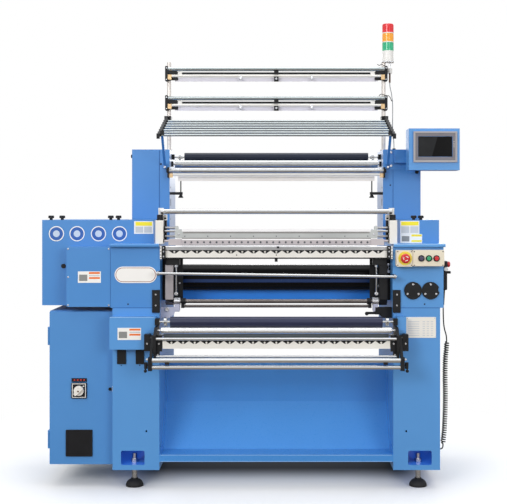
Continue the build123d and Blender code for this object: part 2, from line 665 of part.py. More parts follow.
tube_mount = block((513.0, 521.0), (388.0, TOWER_Y[0]), (1384.0, 1434.0))
tube_mount += bar_x((521.0, 527.0), *TENSION_TUBE, 20.0)
keep("feed_brackets", *both(feed_bearing(FEED_ROLLER, 500.0, 12.5), feed_bearing(CHROME_ROLLER, 504.0, 12.5),
                            adjuster(), tube_mount))
keep("feed_roller", roller(451.0, FEED_ROLLER, FEED_RADIUS, FEED_SHAFT, 512.0, 39.0))
keep("chrome_roller", roller(496.0, CHROME_ROLLER, CHROME_RADIUS, FEED_SHAFT, 512.0))


# Creel

def station(z):
    """Right end bracket of a yarn station with its clamp on the post, z being the post clamp's middle."""
    cheek = rounded_y((533.0, 547.0), (525.0, 553.0), (z - 37, z + 38), 5.0)
    clamp = block((519.0, 547.0), (553.0, 578.0), (z - 15, z + 15))
    upper = block((485.0, 533.0), (536.0, 546.0), (z - 3, z + 11))
    lower = block((485.0, 533.0), (538.0, 545.0), (z - 31, z - 16))
    return cheek + clamp + upper + lower - bar_z(*POST, (z - 50, z + 50), POST_DIA)


def rack_place(share):
    """Y and Z of a point along the rack."""
    y = RACK_NEAR[0] + share * (RACK_FAR[0] - RACK_NEAR[0])
    return (y, RACK_NEAR[1] + share * (RACK_FAR[1] - RACK_NEAR[1]))


def rack_side():
    """Right side bar of the yarn rack with its post clamp and near end block."""
    near, far = RACK_NEAR, rack_place(RACK_END)
    rise = math.degrees(math.atan2(far[1] - near[1], far[0] - near[0]))
    middle = Pos(536.0, (near[0] + far[0]) / 2, (near[1] + far[1]) / 2)
    bar = middle * Rot(rise, 0, 0) * Box(12, math.dist(near, far), 13)
    clamp = block((517.0, 550.0), (520.0, 578.0), (RACK_FAR[1] - 20, RACK_FAR[1] + 1))
    clamp -= bar_z(*POST, (1600, 1800), POST_DIA)
    end = fillet(block((530.0, 544.0), (140.0, 156.0), (1553.0, 1577.0)).edges().filter_by(Axis.X), 4.0)
    return bar + clamp + end


STATIONS = (1900.0, 1900.0 - STATION_STEP)
post = bar_z(*POST, (TOWER_TOP, POST_TOP), POST_DIA) + bar_z(*POST, (TOWER_TOP, TOWER_TOP + 8), 32.0)
keep("creel_posts", *both(post))
stop_strips = [block(span(485.0), (538.0, 542.0), (z - 2, z + 8)) for z in STATIONS]
keep("creel_brackets", *[side for z in STATIONS for side in both(station(z))], *both(rack_side()),
     *stop_strips)
rack_rods = [bar_x(span(530.0), *rack_place(0.03 + 0.12 * i), 10.5) for i in range(RACK_RODS)]
station_tubes = [bar_x(span(533.0), 535.0, z + 23, 20.0) for z in STATIONS]
front_rail = bar_x(span(512.0), 48.0, 1222.0, 23.0)
lower_tubes = [bar_x(span(514.0), -130.0, 676.5, 12.0), bar_x(span(514.0), -127.0, 601.0, 12.0)]
tension_tube = bar_x(span(513.0), *TENSION_TUBE, 26.0)
keep("guide_rods", *rack_rods, *station_tubes, front_rail, *lower_tubes, tension_tube)
station_threads = []
for z in STATIONS:
    tube = bar_x(span(533.0), 531.0, z - 11, 12.5)
    for brass in both(block((515.0, 533.0), (522.0, 538.0), (z - 29, z - 5))):
        tube += brass
    station_threads.append(tube)
tension_rod = bar_x(span(513.0), *TENSION_ROD, 11.0)
for brass in both(block((496.0, 513.0), (394.0, 412.0), (1385.0, 1404.0))):
    tension_rod += brass
keep("thread_tubes", *station_threads, tension_rod)
drop_strips = [block(span(500.0), (545.0, 548.0), (z - 36, z - 17)) for z in STATIONS]
cut_strip = block(span(474.0), (434.0, 440.0), (1369.5, 1391.5))
keep("drop_bars", *drop_strips, cut_strip)


# Struts and touch panel

def strut():
    """Right flat strut from the rack's near end down to the tower front."""
    top = (523.0, 178.0, 1580.0)
    foot = (536.0, 419.0, 1440.0)
    path = Vector(*foot) - Vector(*top)
    plane = Plane(origin=top, x_dir=(1, 0, 0), z_dir=path)
    bar = extrude(plane * Rectangle(12, 6), amount=path.length)
    foot_pad = block((529.0, 543.0), (414.0, TOWER_Y[0]), (1430.0, 1452.0))
    top_pad = block((518.0, 530.0), (170.0, 186.0), (1572.0, 1588.0))
    return bar + foot_pad + top_pad


def panel_arm():
    """Folded arm of the touch panel on the right tower, with the lug of its swivel."""
    x, y = PANEL_AXIS
    front = TOWER_Y[0] - 34
    arm = block((566.0, x + 14), (front, TOWER_Y[0] - 2), (1456.0, 1518.0))
    arm -= block((569.0, x + 20), (front + 3, TOWER_Y[0] + 5), (1459.0, 1515.0))
    arm += block((545.0, 600.0), (TOWER_Y[0] - 5, TOWER_Y[0] - 2), (1424.0, 1518.0))
    lug = bar_z(x, y, (1456.0, 1518.0), 26.0) + block((x - 13, x + 13), (y, front + 3), (1456.0, 1518.0))
    return arm + lug - bar_z(x, y, (1450.0, 1524.0), 10.0 + 2 * RUNNING)


def panel_case():
    """Touch panel case with a stepped bezel and the two ears and pin of its swivel."""
    x, y = PANEL_AXIS
    case = fillet(block(PANEL_X, PANEL_Y, PANEL_Z).edges().filter_by(Axis.Z), 3.0)
    bezel = rounded_y((636.0, 835.0), (PANEL_Y[0] - 7, PANEL_Y[0]), (1450.5, 1593.0), 3.0)
    bezel -= block((655.5, 815.0), (PANEL_Y[0] - 8, PANEL_Y[0] - 4), (1474.5, 1570.0))
    case += bezel
    for z in ((1449.0, 1455.5), (1518.5, 1525.0)):
        case += block((x - 14, x + 14), (PANEL_Y[1], y), z) + bar_z(x, y, z, 28.0)
    return case + bar_z(x, y, (1449.0, 1525.0), 10.0)


keep("tower_arms", *both(strut()), panel_arm())
keep("panel_case", panel_case())

# Stack light
lamp_plate = block((520.0, 582.0), (540.0, 592.0), (POST_TOP, POST_TOP + 3))
lamp_plate += bar_z(*LAMP_LEAD, (1931.0, POST_TOP), 8.0) + bar_z(*LAMP_LEAD, (1907.0, 1932.0), 23.0)
lamp_foot = lamp_plate + bar_z(*LAMP, (POST_TOP + 3, 2017.0), LAMP_DIA)
lamp_rings = [bar_z(*LAMP, z, LAMP_DIA - 3) for z in ((2058.0, 2061.0), (2103.0, 2106.0))]
lens_ranges = ((2017.0, 2058.0), (2061.0, 2103.0), (2106.0, 2150.0))
lenses = [bar_z(*LAMP, z, LAMP_DIA) for z in lens_ranges]
lenses[-1] = fillet(lenses[-1].edges().group_by(Axis.Z)[-1], 3.0)
lamp_gland = bar_z(*LAMP_LEAD, (1862.0, 1907.0), 9.0)
keep("lamp_base", lamp_foot, *lamp_rings, lamp_gland)
keep("lamp_lenses", *lenses)


# Switch boxes, buttons and pendant

def switch_boxes():
    """Box of the stop button and box of the three push buttons, bored for their plungers."""
    stop = rounded_y((523.0, 593.5), (CONTROL_FRONT, 0.0), (982.0, 1053.0), 5.0)
    stop += bar_y(ESTOP[0], (CONTROL_FRONT - 2, CONTROL_FRONT), ESTOP[1], 60.0)
    stop -= bar_y(ESTOP[0], (CONTROL_FRONT - 3, CONTROL_FRONT + 30), ESTOP[1], 22.0 + 2 * RUNNING)
    keys = rounded_y((595.0, 731.0), (CONTROL_FRONT, 0.0), (984.0, 1054.0), 4.0)
    for x in BUTTONS.values():
        keys += bar_y(x, (CONTROL_FRONT - 4, CONTROL_FRONT), BUTTON_Z, 28.0)
    for x in BUTTONS.values():
        keys -= bar_y(x, (CONTROL_FRONT - 5, CONTROL_FRONT + 25), BUTTON_Z, 19.0 + 2 * RUNNING)
    return [stop, keys]


def mushroom(radius, height, stem_dia, stem_length):
    """Domed head on a stem, along -Z from the head's back."""
    head = Cylinder(radius, height, align=(Align.CENTER, Align.CENTER, Align.MIN))
    head = fillet(head.edges().group_by(Axis.Z)[-1], height * 0.6)
    stem = Pos(0, 0, -stem_length / 2) * Cylinder(stem_dia / 2, stem_length)
    return head + stem


def push_button(x):
    """Plunger of a push button, a little proud of its bezel."""
    plunger = bar_y(x, (CONTROL_FRONT - 8, CONTROL_FRONT + 16), BUTTON_Z, 19.0)
    return fillet(plunger.edges().group_by(Axis.Y)[0], 1.5)


keep("switch_boxes", *switch_boxes())
stop_head = Pos(ESTOP[0], CONTROL_FRONT - 10, ESTOP[1]) * Rot(90, 0, 0) * mushroom(20.5, 14.0, 22.0, 34.0)
keep("estop_button", stop_head)
for name, x in BUTTONS.items():
    keep(name, push_button(x))


def pendant_body():
    """Hand unit on the housing's side: hooked back plate, ribbed grip, knobs and strain relief."""
    wall = RIGHT_HOUSING_OUTER
    body = block((wall + 1, wall + 25), (PENDANT_Y - 28, PENDANT_Y + 28), (872.0, 1001.0))
    body = fillet(body.edges().filter_by(Axis.Z), 7.0)
    body = fillet(body.edges().group_by(Axis.Z)[0], 5.0)
    body += block((wall, wall + 6), (PENDANT_Y - 18, PENDANT_Y + 18), (985.0, 1030.0))
    body += block((wall, wall + 4), (PENDANT_Y - 18, PENDANT_Y + 18), (900.0, 985.0))
    body += bar_x((wall + 23, wall + 26), PENDANT_Y, 986.0, 30.0)
    body += bar_x((wall + 23, wall + 43), PENDANT_Y, 950.0, 12.0)
    body += bar_y(wall + 18, (PENDANT_Y - 38, PENDANT_Y - 20), 966.0, 18.0)
    for z in (936.0, 926.0, 916.0):
        body += block((wall + 4, wall + 22), (PENDANT_Y - 30, PENDANT_Y - 26), (z, z + 4))
    body += Pos(CORD_TOP, PENDANT_Y, 838.0) * Cone(4.5, 9.0, 70.0)
    return body - bar_x((wall + 10, wall + 27), PENDANT_Y, 986.0, 14.0 + 2 * RUNNING)


keep("pendant_body", pendant_body())
stop_place = Pos(RIGHT_HOUSING_OUTER + PENDANT_HEAD, PENDANT_Y, 986.0) * Rot(0, 90, 0)
keep("pendant_button", stop_place * mushroom(12.8, 12.0, 14.0, 15.0))


# Cords

def cord_path(points):
    """Route as straight runs joined by arcs as large as the runs allow."""
    radii = []
    for before, corner, after in zip(points, points[1:], points[2:]):
        leg_in = Vector(*corner) - Vector(*before)
        leg_out = Vector(*after) - Vector(*corner)
        turn = math.radians(leg_in.get_angle(leg_out))
        radii.append(0.45 * min(leg_in.length, leg_out.length) / math.tan(turn / 2))
    return FilletPolyline(*points, radius=radii), radii


def cord(name, points, dia):
    """Tube along a route; prints its radii, length and volume."""
    path, radii = cord_path(points)
    start = Vector(*points[0])
    plane = Plane(origin=points[0], z_dir=Vector(*points[1]) - start)
    tube = sweep(plane * Circle(dia / 2), path=path)
    ratio = tube.volume / (math.pi * dia ** 2 / 4 * path.length)
    print(name, "radii", [round(r) for r in radii], "length", round(path.length, 1),
          "volume ratio", round(ratio, 4))
    return tube


def upright(*points):
    """Route points in the plane of the pendant from (x, z) pairs."""
    return [(x, PENDANT_Y, z) for x, z in points]


upper_lead = upright((CORD_TOP, 803), (CORD_TOP, 756), (750, 702), (761, 668), (762, 643))
curl = upright((762, 643), (762, 615), (756, 570), (754.5, 490), (757, 385), (753, 262), (749, 216),
               (745.5, 196), (745.5, 182))
lower_lead = upright((745.5, 182), (745.5, 168), (738, 159), (CORD_END, 159))
lamp_points = ((563, 1862), (563, 1842), (572, 1808), (577, 1765), (578, 1712), (576.5, 1655), (579, 1605),
               (584, 1568), (584, 1535))
lamp_route = [(x, LAMP_LEAD[1], z) for x, z in lamp_points]
keep("cord_lead", cord("upper lead", upper_lead, LEAD_DIA), cord("lower lead", lower_lead, LEAD_DIA))
keep("curly_cord", cord("curl", curl, CURL_DIA))
keep("lamp_lead", cord("lamp lead", lamp_route, LAMP_LEAD_DIA))

# Output
CORD_NODES = ("cord_lead", "curly_cord", "lamp_lead")
JOINTS = {"cabinet_door": (*DOOR_AXIS, 440.0), "door_lock": (LOCK[0], DOOR_Y[0], LOCK[1]),
          "switch_handle": (SWITCH[0], DOOR_Y[0], SWITCH[1]), "main_shaft": (0.0, *MAIN_SHAFT),
          "rocker": (0.0, *ROCKER), "guide_plate": (0.0, *GUIDE_ROD), "weft_bar": (0.0, *WEFT_RODS[0]),
          "start_rod": rod_middle, "pull_roller": (0.0, *PULL_ROLLER), "press_roller": (0.0, *PRESS_ROLLER),
          "return_roller": (0.0, *RETURN_ROLLER), "front_frame": (0.0, *FRAME_AXIS),
          "feed_roller": (0.0, *FEED_ROLLER), "chrome_roller": (0.0, *CHROME_ROLLER),
          "panel": (*PANEL_AXIS, 1487.0), "estop": (ESTOP[0], CONTROL_FRONT, ESTOP[1]),
          "pendant_stop": (RIGHT_HOUSING_OUTER + PENDANT_HEAD, PENDANT_Y, 986.0),
          **{name: (x, CONTROL_FRONT, BUTTON_Z) for name, x in BUTTONS.items()}}

fixed_solids = [solid for name, solids in nodes.items() if name not in CORD_NODES for solid in solids]
body_box = Compound(fixed_solids).bounding_box()
middle_x = (body_box.min.X + body_box.max.X) / 2
middle_y = (body_box.min.Y + body_box.max.Y) / 2
place = Pos(-middle_x, -middle_y, -body_box.min.Z)
os.makedirs("parts", exist_ok=True)
for name, solids in nodes.items():
    moved = [place * solid for solid in solids]
    export_step(moved[0] if len(moved) == 1 else Compound(moved), f"parts/{name}.step")
print("nodes", len(nodes), "size", body_box.size)
print("origin in the working frame", (round(middle_x, 3), round(middle_y, 3), round(body_box.min.Z, 3)))
for name, (x, y, z) in JOINTS.items():
    print("joint", name, [round(v, 3) for v in (x - middle_x, y - middle_y, z - body_box.min.Z)])
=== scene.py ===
"""Crochet knitting machine: finishes, small fittings, cords, floor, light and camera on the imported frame."""
import logging
import math
from dataclasses import dataclass, replace
from enum import Enum
from typing import Callable, Sequence

import bmesh
import bpy
from mathutils import Matrix, Vector


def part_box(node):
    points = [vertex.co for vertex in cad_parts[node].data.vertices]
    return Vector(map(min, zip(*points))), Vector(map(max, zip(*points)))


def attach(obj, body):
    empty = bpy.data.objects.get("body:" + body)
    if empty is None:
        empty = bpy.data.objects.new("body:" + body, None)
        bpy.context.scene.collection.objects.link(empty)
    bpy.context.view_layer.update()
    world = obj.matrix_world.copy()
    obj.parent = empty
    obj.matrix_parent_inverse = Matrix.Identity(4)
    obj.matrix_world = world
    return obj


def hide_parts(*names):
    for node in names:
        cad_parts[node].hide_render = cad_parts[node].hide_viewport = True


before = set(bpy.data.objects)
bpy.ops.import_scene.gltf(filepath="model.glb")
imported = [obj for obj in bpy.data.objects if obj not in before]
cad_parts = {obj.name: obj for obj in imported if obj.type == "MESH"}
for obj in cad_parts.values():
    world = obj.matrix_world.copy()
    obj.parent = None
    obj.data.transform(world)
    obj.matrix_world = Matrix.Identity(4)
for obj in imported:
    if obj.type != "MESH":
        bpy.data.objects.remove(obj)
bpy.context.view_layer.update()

NOISE_SPAN = (0.3, 0.7)  # range that a noise texture really fills
COAT_ROUGHNESS = 0.06
LOG = logging.getLogger("knitting_machine")

# Every size below is in millimetres of the machine: X = 0 in the middle of the knitting field, Y = 0 at the
# housing fronts with +Y to the back, Z = 0 at the floor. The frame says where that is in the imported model.
MM = 0.001
beam_low, beam_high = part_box("main_beam")
FIELD_MIDDLE = (beam_low.x + beam_high.x) / 2
HOUSING_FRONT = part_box("left_leg")[0].y

Range = tuple[float, float]
Point = tuple[float, float, float]


def at(x: float, y: float, z: float) -> Vector:
    """Place of a point of the machine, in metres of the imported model."""
    return Vector((FIELD_MIDDLE + x * MM, HOUSING_FRONT + y * MM, z * MM))


def linear(colour: str) -> tuple[float, float, float, float]:
    """Turn an sRGB colour into the linear values that a shader takes.

    Args:
        colour: six hex digits after a hash.

    Returns:
        Red, green, blue and an alpha of 1.
    """
    shares = [int(colour[i:i + 2], 16) / 255 for i in (1, 3, 5)]
    red, green, blue = (s / 12.92 if s <= 0.04045 else ((s + 0.055) / 1.055) ** 2.4 for s in shares)
    return red, green, blue, 1.0


WHITE = linear("#FFFFFF")
SKEW = Vector((0.13, 0.97, 0.21))  # direction that no wire runs along


def add_node(tree: bpy.types.NodeTree, kind: str, inputs: dict | None = None, **settings) -> bpy.types.Node:
    """Add one shader node.

    Args:
        tree: the node tree that it goes into.
        kind: the node's type name.
        inputs: value, output socket or node (for its first output) for each input, by name or index.
        settings: the node's own options.

    Returns:
        The new node.
    """
    made = tree.nodes.new(kind)
    for option, value in settings.items():
        setattr(made, option, value)
    for key, value in (inputs or {}).items():
        if isinstance(value, bpy.types.Node):
            value = value.outputs[0]
        if isinstance(value, bpy.types.NodeSocket):
            tree.links.new(value, made.inputs[key])
        else:
            made.inputs[key].default_value = value
    return made


def ramp(tree: bpy.types.NodeTree, value: bpy.types.Node | bpy.types.NodeSocket, start: Range,
         end: Range = (0.0, 1.0), **settings) -> bpy.types.Node:
    """Map a value from one range to another.

    Args:
        tree: the node tree that it goes into.
        value: node or output socket that is mapped.
        start: range that it comes from.
        end: range that it goes to.
        settings: the node's own options.

    Returns:
        The new node.
    """
    return add_node(tree, "ShaderNodeMapRange", {"Value": value, "From Min": start[0], "From Max": start[1],
                                                 "To Min": end[0], "To Max": end[1]}, **settings)


def maths(tree: bpy.types.NodeTree, operation: str, *values) -> bpy.types.Node:
    """Add one operation on numbers, output sockets or nodes."""
    return add_node(tree, "ShaderNodeMath", dict(enumerate(values)), operation=operation)


def blend(tree: bpy.types.NodeTree, share, first, second) -> bpy.types.NodeSocket:
    """Mix two colours and give the mixed colour's socket."""
    return add_node(tree, "ShaderNodeMix", {0: share, 6: first, 7: second}, data_type="RGBA").outputs[2]


def add_object(name: str, data: bpy.types.ID) -> bpy.types.Object:
    """Make an object of a mesh, curve, lamp or camera and link it to the scene."""
    made = bpy.data.objects.new(name, data)
    bpy.context.scene.collection.objects.link(made)
    return made


def beside(side: int, inner: float, outer: float) -> Range:
    """X range between two distances from the middle, on the left for -1 and on the right for 1."""
    return tuple(sorted((side * inner, side * outer)))


def tube_rings(rows: int, sides: int) -> list[tuple[int, ...]]:
    """Faces of a closed tube, as indices of its corners row by row."""
    last = (rows - 1) * sides
    rings = [tuple(reversed(range(sides))), tuple(range(last, last + sides))]
    for row in range(rows - 1):
        for i in range(sides):
            low = row * sides + i
            following = row * sides + (i + 1) % sides
            rings.append((low, following, following + sides, low + sides))
    return rings


# Finishes

class Grain(Enum):
    """How a surface was left, as the stretch of its texture along X, Y and Z."""
    EVEN = (1.0, 1.0, 1.0)
    ALONG_X = (0.02, 1.0, 1.0)
    ALONG_Z = (1.0, 1.0, 0.02)


@dataclass(frozen=True)
class Finish:
    """One real material and the way its surface was made.

    Attributes:
        name: the material's common name and process.
        colour: main colour, sRGB hex.
        shade: colour that it drifts towards in soft patches, sRGB hex.
        roughness: lowest and highest roughness.
        metallic: 1 for bare metal.
        grain: direction of the surface texture.
        pitch: size of one bump of the texture, in mm.
        height: height of those bumps, in mm.
        drift: size of the soft colour patches, in mm.
        coat: weight of a clear top layer.
        ior: refractive index, left alone for a metal.
        specular: level of the plain reflection, half for most things and less for a matte black.
        glow: strength of its own light.
    """
    name: str
    colour: str
    shade: str
    roughness: Range = (0.4, 0.5)
    metallic: float = 0.0
    grain: Grain = Grain.EVEN
    pitch: float = 3.0
    height: float = 0.02
    drift: float = 180.0
    coat: float = 0.0
    ior: float = 1.5
    specular: float = 0.5
    glow: float = 0.0

    def tinted(self, name: str, colour: str, shade: str, **changes) -> "Finish":
        """The same surface in another colour, with the other changes that are named."""
        return replace(self, name=name, colour=colour, shade=shade, **changes)

    def material(self) -> bpy.types.Material:
        """The Blender material of this finish, made on first use."""
        return bpy.data.materials.get(self.name) or self.build()

    def build(self) -> bpy.types.Material:
        """Make the material: colour drift, uneven gloss and a bump, all sized in real millimetres.

        Returns:
            The new material.
        """
        made = bpy.data.materials.new(self.name)
        made.use_nodes = True
        tree = made.node_tree
        shader = tree.nodes["Principled BSDF"]
        place = add_node(tree, "ShaderNodeTexCoord").outputs["Object"]
        patches = add_node(tree, "ShaderNodeTexNoise", {"Vector": place, "Scale": 1000 / self.drift,
                                                        "Detail": 3.0, "Roughness": 0.6})
        spread = ramp(tree, patches, NOISE_SPAN)
        tint = blend(tree, spread, linear(self.colour), linear(self.shade))
        along = add_node(tree, "ShaderNodeMapping", {"Vector": place, "Scale": self.grain.value})
        texture = add_node(tree, "ShaderNodeTexNoise", {"Vector": along, "Scale": 1000 / self.pitch,
                                                        "Detail": 2.0})
        gloss = ramp(tree, texture, NOISE_SPAN, self.roughness)
        bump = add_node(tree, "ShaderNodeBump", {"Height": texture, "Strength": 1.0,
                                                 "Distance": self.height * MM})
        tree.links.new(tint, shader.inputs["Base Color"])
        tree.links.new(gloss.outputs[0], shader.inputs["Roughness"])
        tree.links.new(bump.outputs[0], shader.inputs["Normal"])
        shader.inputs["Metallic"].default_value = self.metallic
        if not self.metallic:
            shader.inputs["IOR"].default_value = self.ior
            shader.inputs["Specular IOR Level"].default_value = self.specular
        if self.coat:
            shader.inputs["Coat Weight"].default_value = self.coat
            shader.inputs["Coat Roughness"].default_value = COAT_ROUGHNESS
        if self.glow:
            tree.links.new(tint, shader.inputs["Emission Color"])
            shader.inputs["Emission Strength"].default_value = self.glow
        made.diffuse_color = linear(self.colour)
        return made


# Powder coat on sheet steel: even, half gloss and faintly dimpled. Its real dimples are under 1 mm; they are
# drawn at 4 mm to show at all. The machine is probably one blue: the blues below differ because each was set
# to what the photograph shows at that place, shade included.
BLUE_COAT = Finish("powder_coat_blue", "#5799DA", "#5394D5", (0.30, 0.42), pitch=4.0, height=0.03,
                   drift=420.0)
BLUE_UPPER = BLUE_COAT.tinted("powder_coat_upper_blue", "#4A8CD0", "#4587CA")
BLUE_DOOR = BLUE_COAT.tinted("powder_coat_door_blue", "#4F90D2", "#4B8BCC")
BLUE_INSIDE = BLUE_COAT.tinted("powder_coat_chute_blue", "#4691DC", "#428CD6", roughness=(0.26, 0.36))
BLUE_BEAM = BLUE_COAT.tinted("powder_coat_beam_blue", "#2A8AF0", "#2683E8")
# Inside of the foot windows, with a little glow in place of the light that the photograph shows there.
BLUE_WINDOW = BLUE_COAT.tinted("powder_coat_foot_window", "#3B7FE0", "#3678D6", height=0.02, glow=0.16)
# Painted highlight lines along folded edges: a paler copy of the blue for the light that these edges catch.
BLUE_EDGE_HIGHLIGHT = BLUE_COAT.tinted("powder_coat_painted_edge_highlight", "#9FC8F0", "#97C0E9", roughness=(0.24, 0.34),
                             height=0.01, drift=200.0)
# Inner cheeks of the towers: the same blue drawn pale, a painted sheen for the light that these sides catch.
BLUE_SHEEN_COAT = BLUE_COAT.tinted("powder_coat_blue_painted_sheen", "#B3C6E6", "#A9BEE0", height=0.02, drift=200.0)
# Joint between two sheets, drawn as a dark line.
BLUE_SHADOW = Finish("powder_coat_in_joint", "#2E63A6", "#2A5C9B", (0.5, 0.6), pitch=4.0, height=0.02,
                     specular=0.2)
# Cream enamel on cast and sheet parts: smooth, slightly warm.
CREAM_ENAMEL = Finish("enamel_cream_sprayed", "#EDEBE6", "#E4E2DC", (0.34, 0.46), pitch=2.0, height=0.02)
CREAM_BOX = CREAM_ENAMEL.tinted("enamel_cream_box", "#E8E0CC", "#E0D7C2", roughness=(0.36, 0.46))
# Black oxide on milled steel: near black with a dull sheen that shows the cutter's marks.
BLACK_OXIDE = Finish("steel_black_oxide_milled", "#18191B", "#202124", (0.36, 0.5), grain=Grain.ALONG_X,
                     pitch=1.6, height=0.01, drift=60.0, specular=0.2)
# Gloss black lacquer on the guard sheet, and a blue strip on it that is a painted reflection in the lacquer.
BLACK_LACQUER = Finish("lacquer_black_gloss", "#0E0E10", "#111113", (0.2, 0.28), pitch=6.0, height=0.01,
                       specular=0.12)
GUARD_REFLECTION = BLACK_LACQUER.tinted("lacquer_black_painted_blue_reflection", "#203A6B", "#1A315C", specular=0.3)
# Moulded ABS; the fine texture of the black is drawn at 1 mm.
BLACK_ABS = Finish("abs_black_moulded", "#17171A", "#1D1D21", (0.4, 0.54), pitch=1.0, height=0.02,
                   drift=40.0, specular=0.22)
WHITE_ABS = Finish("abs_white_moulded", "#F0EFEC", "#E7E6E2", (0.3, 0.4), pitch=1.0, height=0.01)
GREY_ABS = Finish("abs_grey_moulded", "#A7ABB0", "#9DA1A7", (0.35, 0.48), pitch=1.0, height=0.02, drift=50.0)
DARK_GREY_ABS = GREY_ABS.tinted("abs_dark_grey_moulded", "#54585E", "#4C5056", drift=180.0)
# Steel plate, surface ground along X: fine bright lines.
GROUND_STEEL = Finish("steel_ground", "#B9BABC", "#A9AAAD", (0.26, 0.38), metallic=1.0, grain=Grain.ALONG_X,
                      pitch=1.2, height=0.004, drift=90.0)
# Cast steel arms, mid grey with a faint warm drift. The bearing bracket on the left is blue paint drawn pale
# lavender: a painted reflection.
CAST_GREY = Finish("steel_cast_blasted", "#A9A4A6", "#989397", (0.42, 0.55), metallic=0.3, pitch=1.6,
                   height=0.02, drift=60.0)
BRACKET_REFLECTION = CAST_GREY.tinted("blue_paint_painted_pale_reflection", "#BDC0D4", "#B1B4CA", roughness=(0.4, 0.5),
                             metallic=0.15, height=0.015)
# Small screw heads: bright zinc drawn near white and half matte, a painted highlight, so that they show as
# pale dots.
SCREW_HIGHLIGHT = Finish("steel_zinc_bright_painted_highlight", "#F0EFEA", "#E6E4DE", (0.3, 0.36), metallic=0.25, pitch=1.0,
                      height=0.002, drift=12.0)
# Folded top lip of the weft bar, and painted shade: in the groove under the lip and along the bar's lower
# edge.
LIP_WHITE = Finish("aluminium_anodised_lip", "#F6F6F8", "#F0F0F3", (0.3, 0.36), grain=Grain.ALONG_X,
                   pitch=3.0, height=0.002)
GROOVE_SHADE = LIP_WHITE.tinted("aluminium_anodised_painted_shade", "#8E8C8B", "#878584", roughness=(0.4, 0.48))
# Zinc-plated steel of screws and nuts: bright with a cool cast.
ZINC_PLATE = Finish("steel_zinc_plated", "#D3D5D9", "#BEC1C7", (0.22, 0.34), metallic=1.0, pitch=1.0,
                    height=0.004, drift=12.0)
# Yarn guide sheet: a warm light grey without mirror shine.
GUIDE_GREY = Finish("steel_phosphated_guide", "#C3BDC0", "#B7B0B5", (0.42, 0.55), metallic=0.25,
                    grain=Grain.ALONG_X, pitch=1.5, height=0.01)
# Extruded aluminium, clear anodised: matte with fine lines along the bar.
ANODISED = Finish("aluminium_anodised_extruded", "#BDC1C1", "#AFB3B4", (0.36, 0.48), metallic=0.5,
                  grain=Grain.ALONG_X, pitch=1.4, height=0.01)
# Hard chrome on tube, near mirror; the press roller has a wider, softer glint and is drawn whiter and less
# metallic, a painted highlight; the rods are less bright.
CHROME = Finish("chrome_plate_polished", "#D2D4D6", "#C9CCCE", (0.12, 0.14), metallic=1.0,
                grain=Grain.ALONG_X, pitch=6.0, height=0.0, drift=400.0)
CHROME_HIGHLIGHT = CHROME.tinted("chrome_plate_painted_highlight", "#F2F4F5", "#EAECEE", roughness=(0.24, 0.27),
                              metallic=0.75)
ROD_STEEL = CHROME.tinted("steel_rod_drawn_plated", "#A9B1B3", "#A0A8AB", roughness=(0.2, 0.23))
# Rocking shaft and cross tube: oiled steel, darker, with a brown cast.
OILED_STEEL = Finish("steel_ground_oiled", "#86807E", "#77716F", (0.2, 0.3), metallic=1.0,
                     grain=Grain.ALONG_X, pitch=2.0, height=0.002, drift=60.0)
# Posts: satin and nearly white.
POST_SATIN = Finish("steel_post_satin", "#E4DED9", "#D9D3CE", (0.34, 0.44), metallic=0.35,
                    grain=Grain.ALONG_Z, pitch=2.0, height=0.004)
# Turned brass, lightly tarnished.
BRASS = Finish("brass_turned", "#DDBE92", "#CFAE80", (0.3, 0.42), metallic=0.5, pitch=1.0, height=0.008,
               drift=20.0)
# Rubber sleeves of the rollers: matte with a soft sheen; the grinding grain is drawn at 3 mm.
NAVY_RUBBER = Finish("rubber_navy_ground", "#23294A", "#1F2541", (0.3, 0.36), grain=Grain.ALONG_X,
                     pitch=3.0, height=0.006, drift=200.0)
GREEN_GREY_RUBBER = NAVY_RUBBER.tinted("rubber_green_grey_ground", "#5B6468", "#525A5E")
FEED_RUBBER = NAVY_RUBBER.tinted("rubber_feed_roller", "#121C30", "#152037", roughness=(0.36, 0.42),
                                 specular=0.4)
# Moulded rubber of the levelling feet: dull and slightly grey.
FOOT_RUBBER = Finish("rubber_foot_moulded", "#1E1E20", "#28282A", (0.6, 0.75), pitch=1.5, height=0.05,
                     specular=0.3)
# Gloss moulded caps of the push buttons.
RED_CAP = Finish("abs_red_gloss", "#D3242C", "#C61E27", (0.2, 0.3), pitch=1.0, height=0.01, coat=0.3)
GREEN_CAP = RED_CAP.tinted("abs_green_gloss", "#2FA873", "#279B68")
BLACK_CAP = RED_CAP.tinted("abs_black_gloss", "#4B4360", "#433C56")
YELLOW_DISC = Finish("polycarbonate_yellow_printed", "#EFDC4C", "#E8D442", (0.35, 0.45), pitch=2.0,
                     height=0.01)
# Printed vinyl and plates: flat colours under a thin film.
WHITE_VINYL = Finish("vinyl_white_printed", "#F6F5F2", "#EFEEEB", (0.38, 0.48), height=0.01)
YELLOW_VINYL = WHITE_VINYL.tinted("vinyl_yellow_printed", "#F8E834", "#F2E12B")
ORANGE_VINYL = WHITE_VINYL.tinted("vinyl_orange_printed", "#EF7A2B", "#E66F22")
BLUE_VINYL = WHITE_VINYL.tinted("vinyl_blue_printed", "#1F5FB4", "#1B57A8", roughness=(0.36, 0.46))
BLUE_VINYL_PALE = BLUE_VINYL.tinted("vinyl_pale_blue_printed", "#C9D8EC", "#BECFE6")
MAROON_INK = Finish("ink_maroon_printed", "#8E2F33", "#852A2E", height=0.01)
RED_INK = MAROON_INK.tinted("ink_red_printed", "#C7352F", "#BB2C28")
CREAM_PLATE = MAROON_INK.tinted("aluminium_plate_printed_cream", "#EEEBE4", "#E7E4DB")
GREY_INK = MAROON_INK.tinted("ink_grey_printed", "#8E908F", "#848685")
PALE_INK = MAROON_INK.tinted("ink_pale_grey_printed", "#CCD0D4", "#C3C7CB")
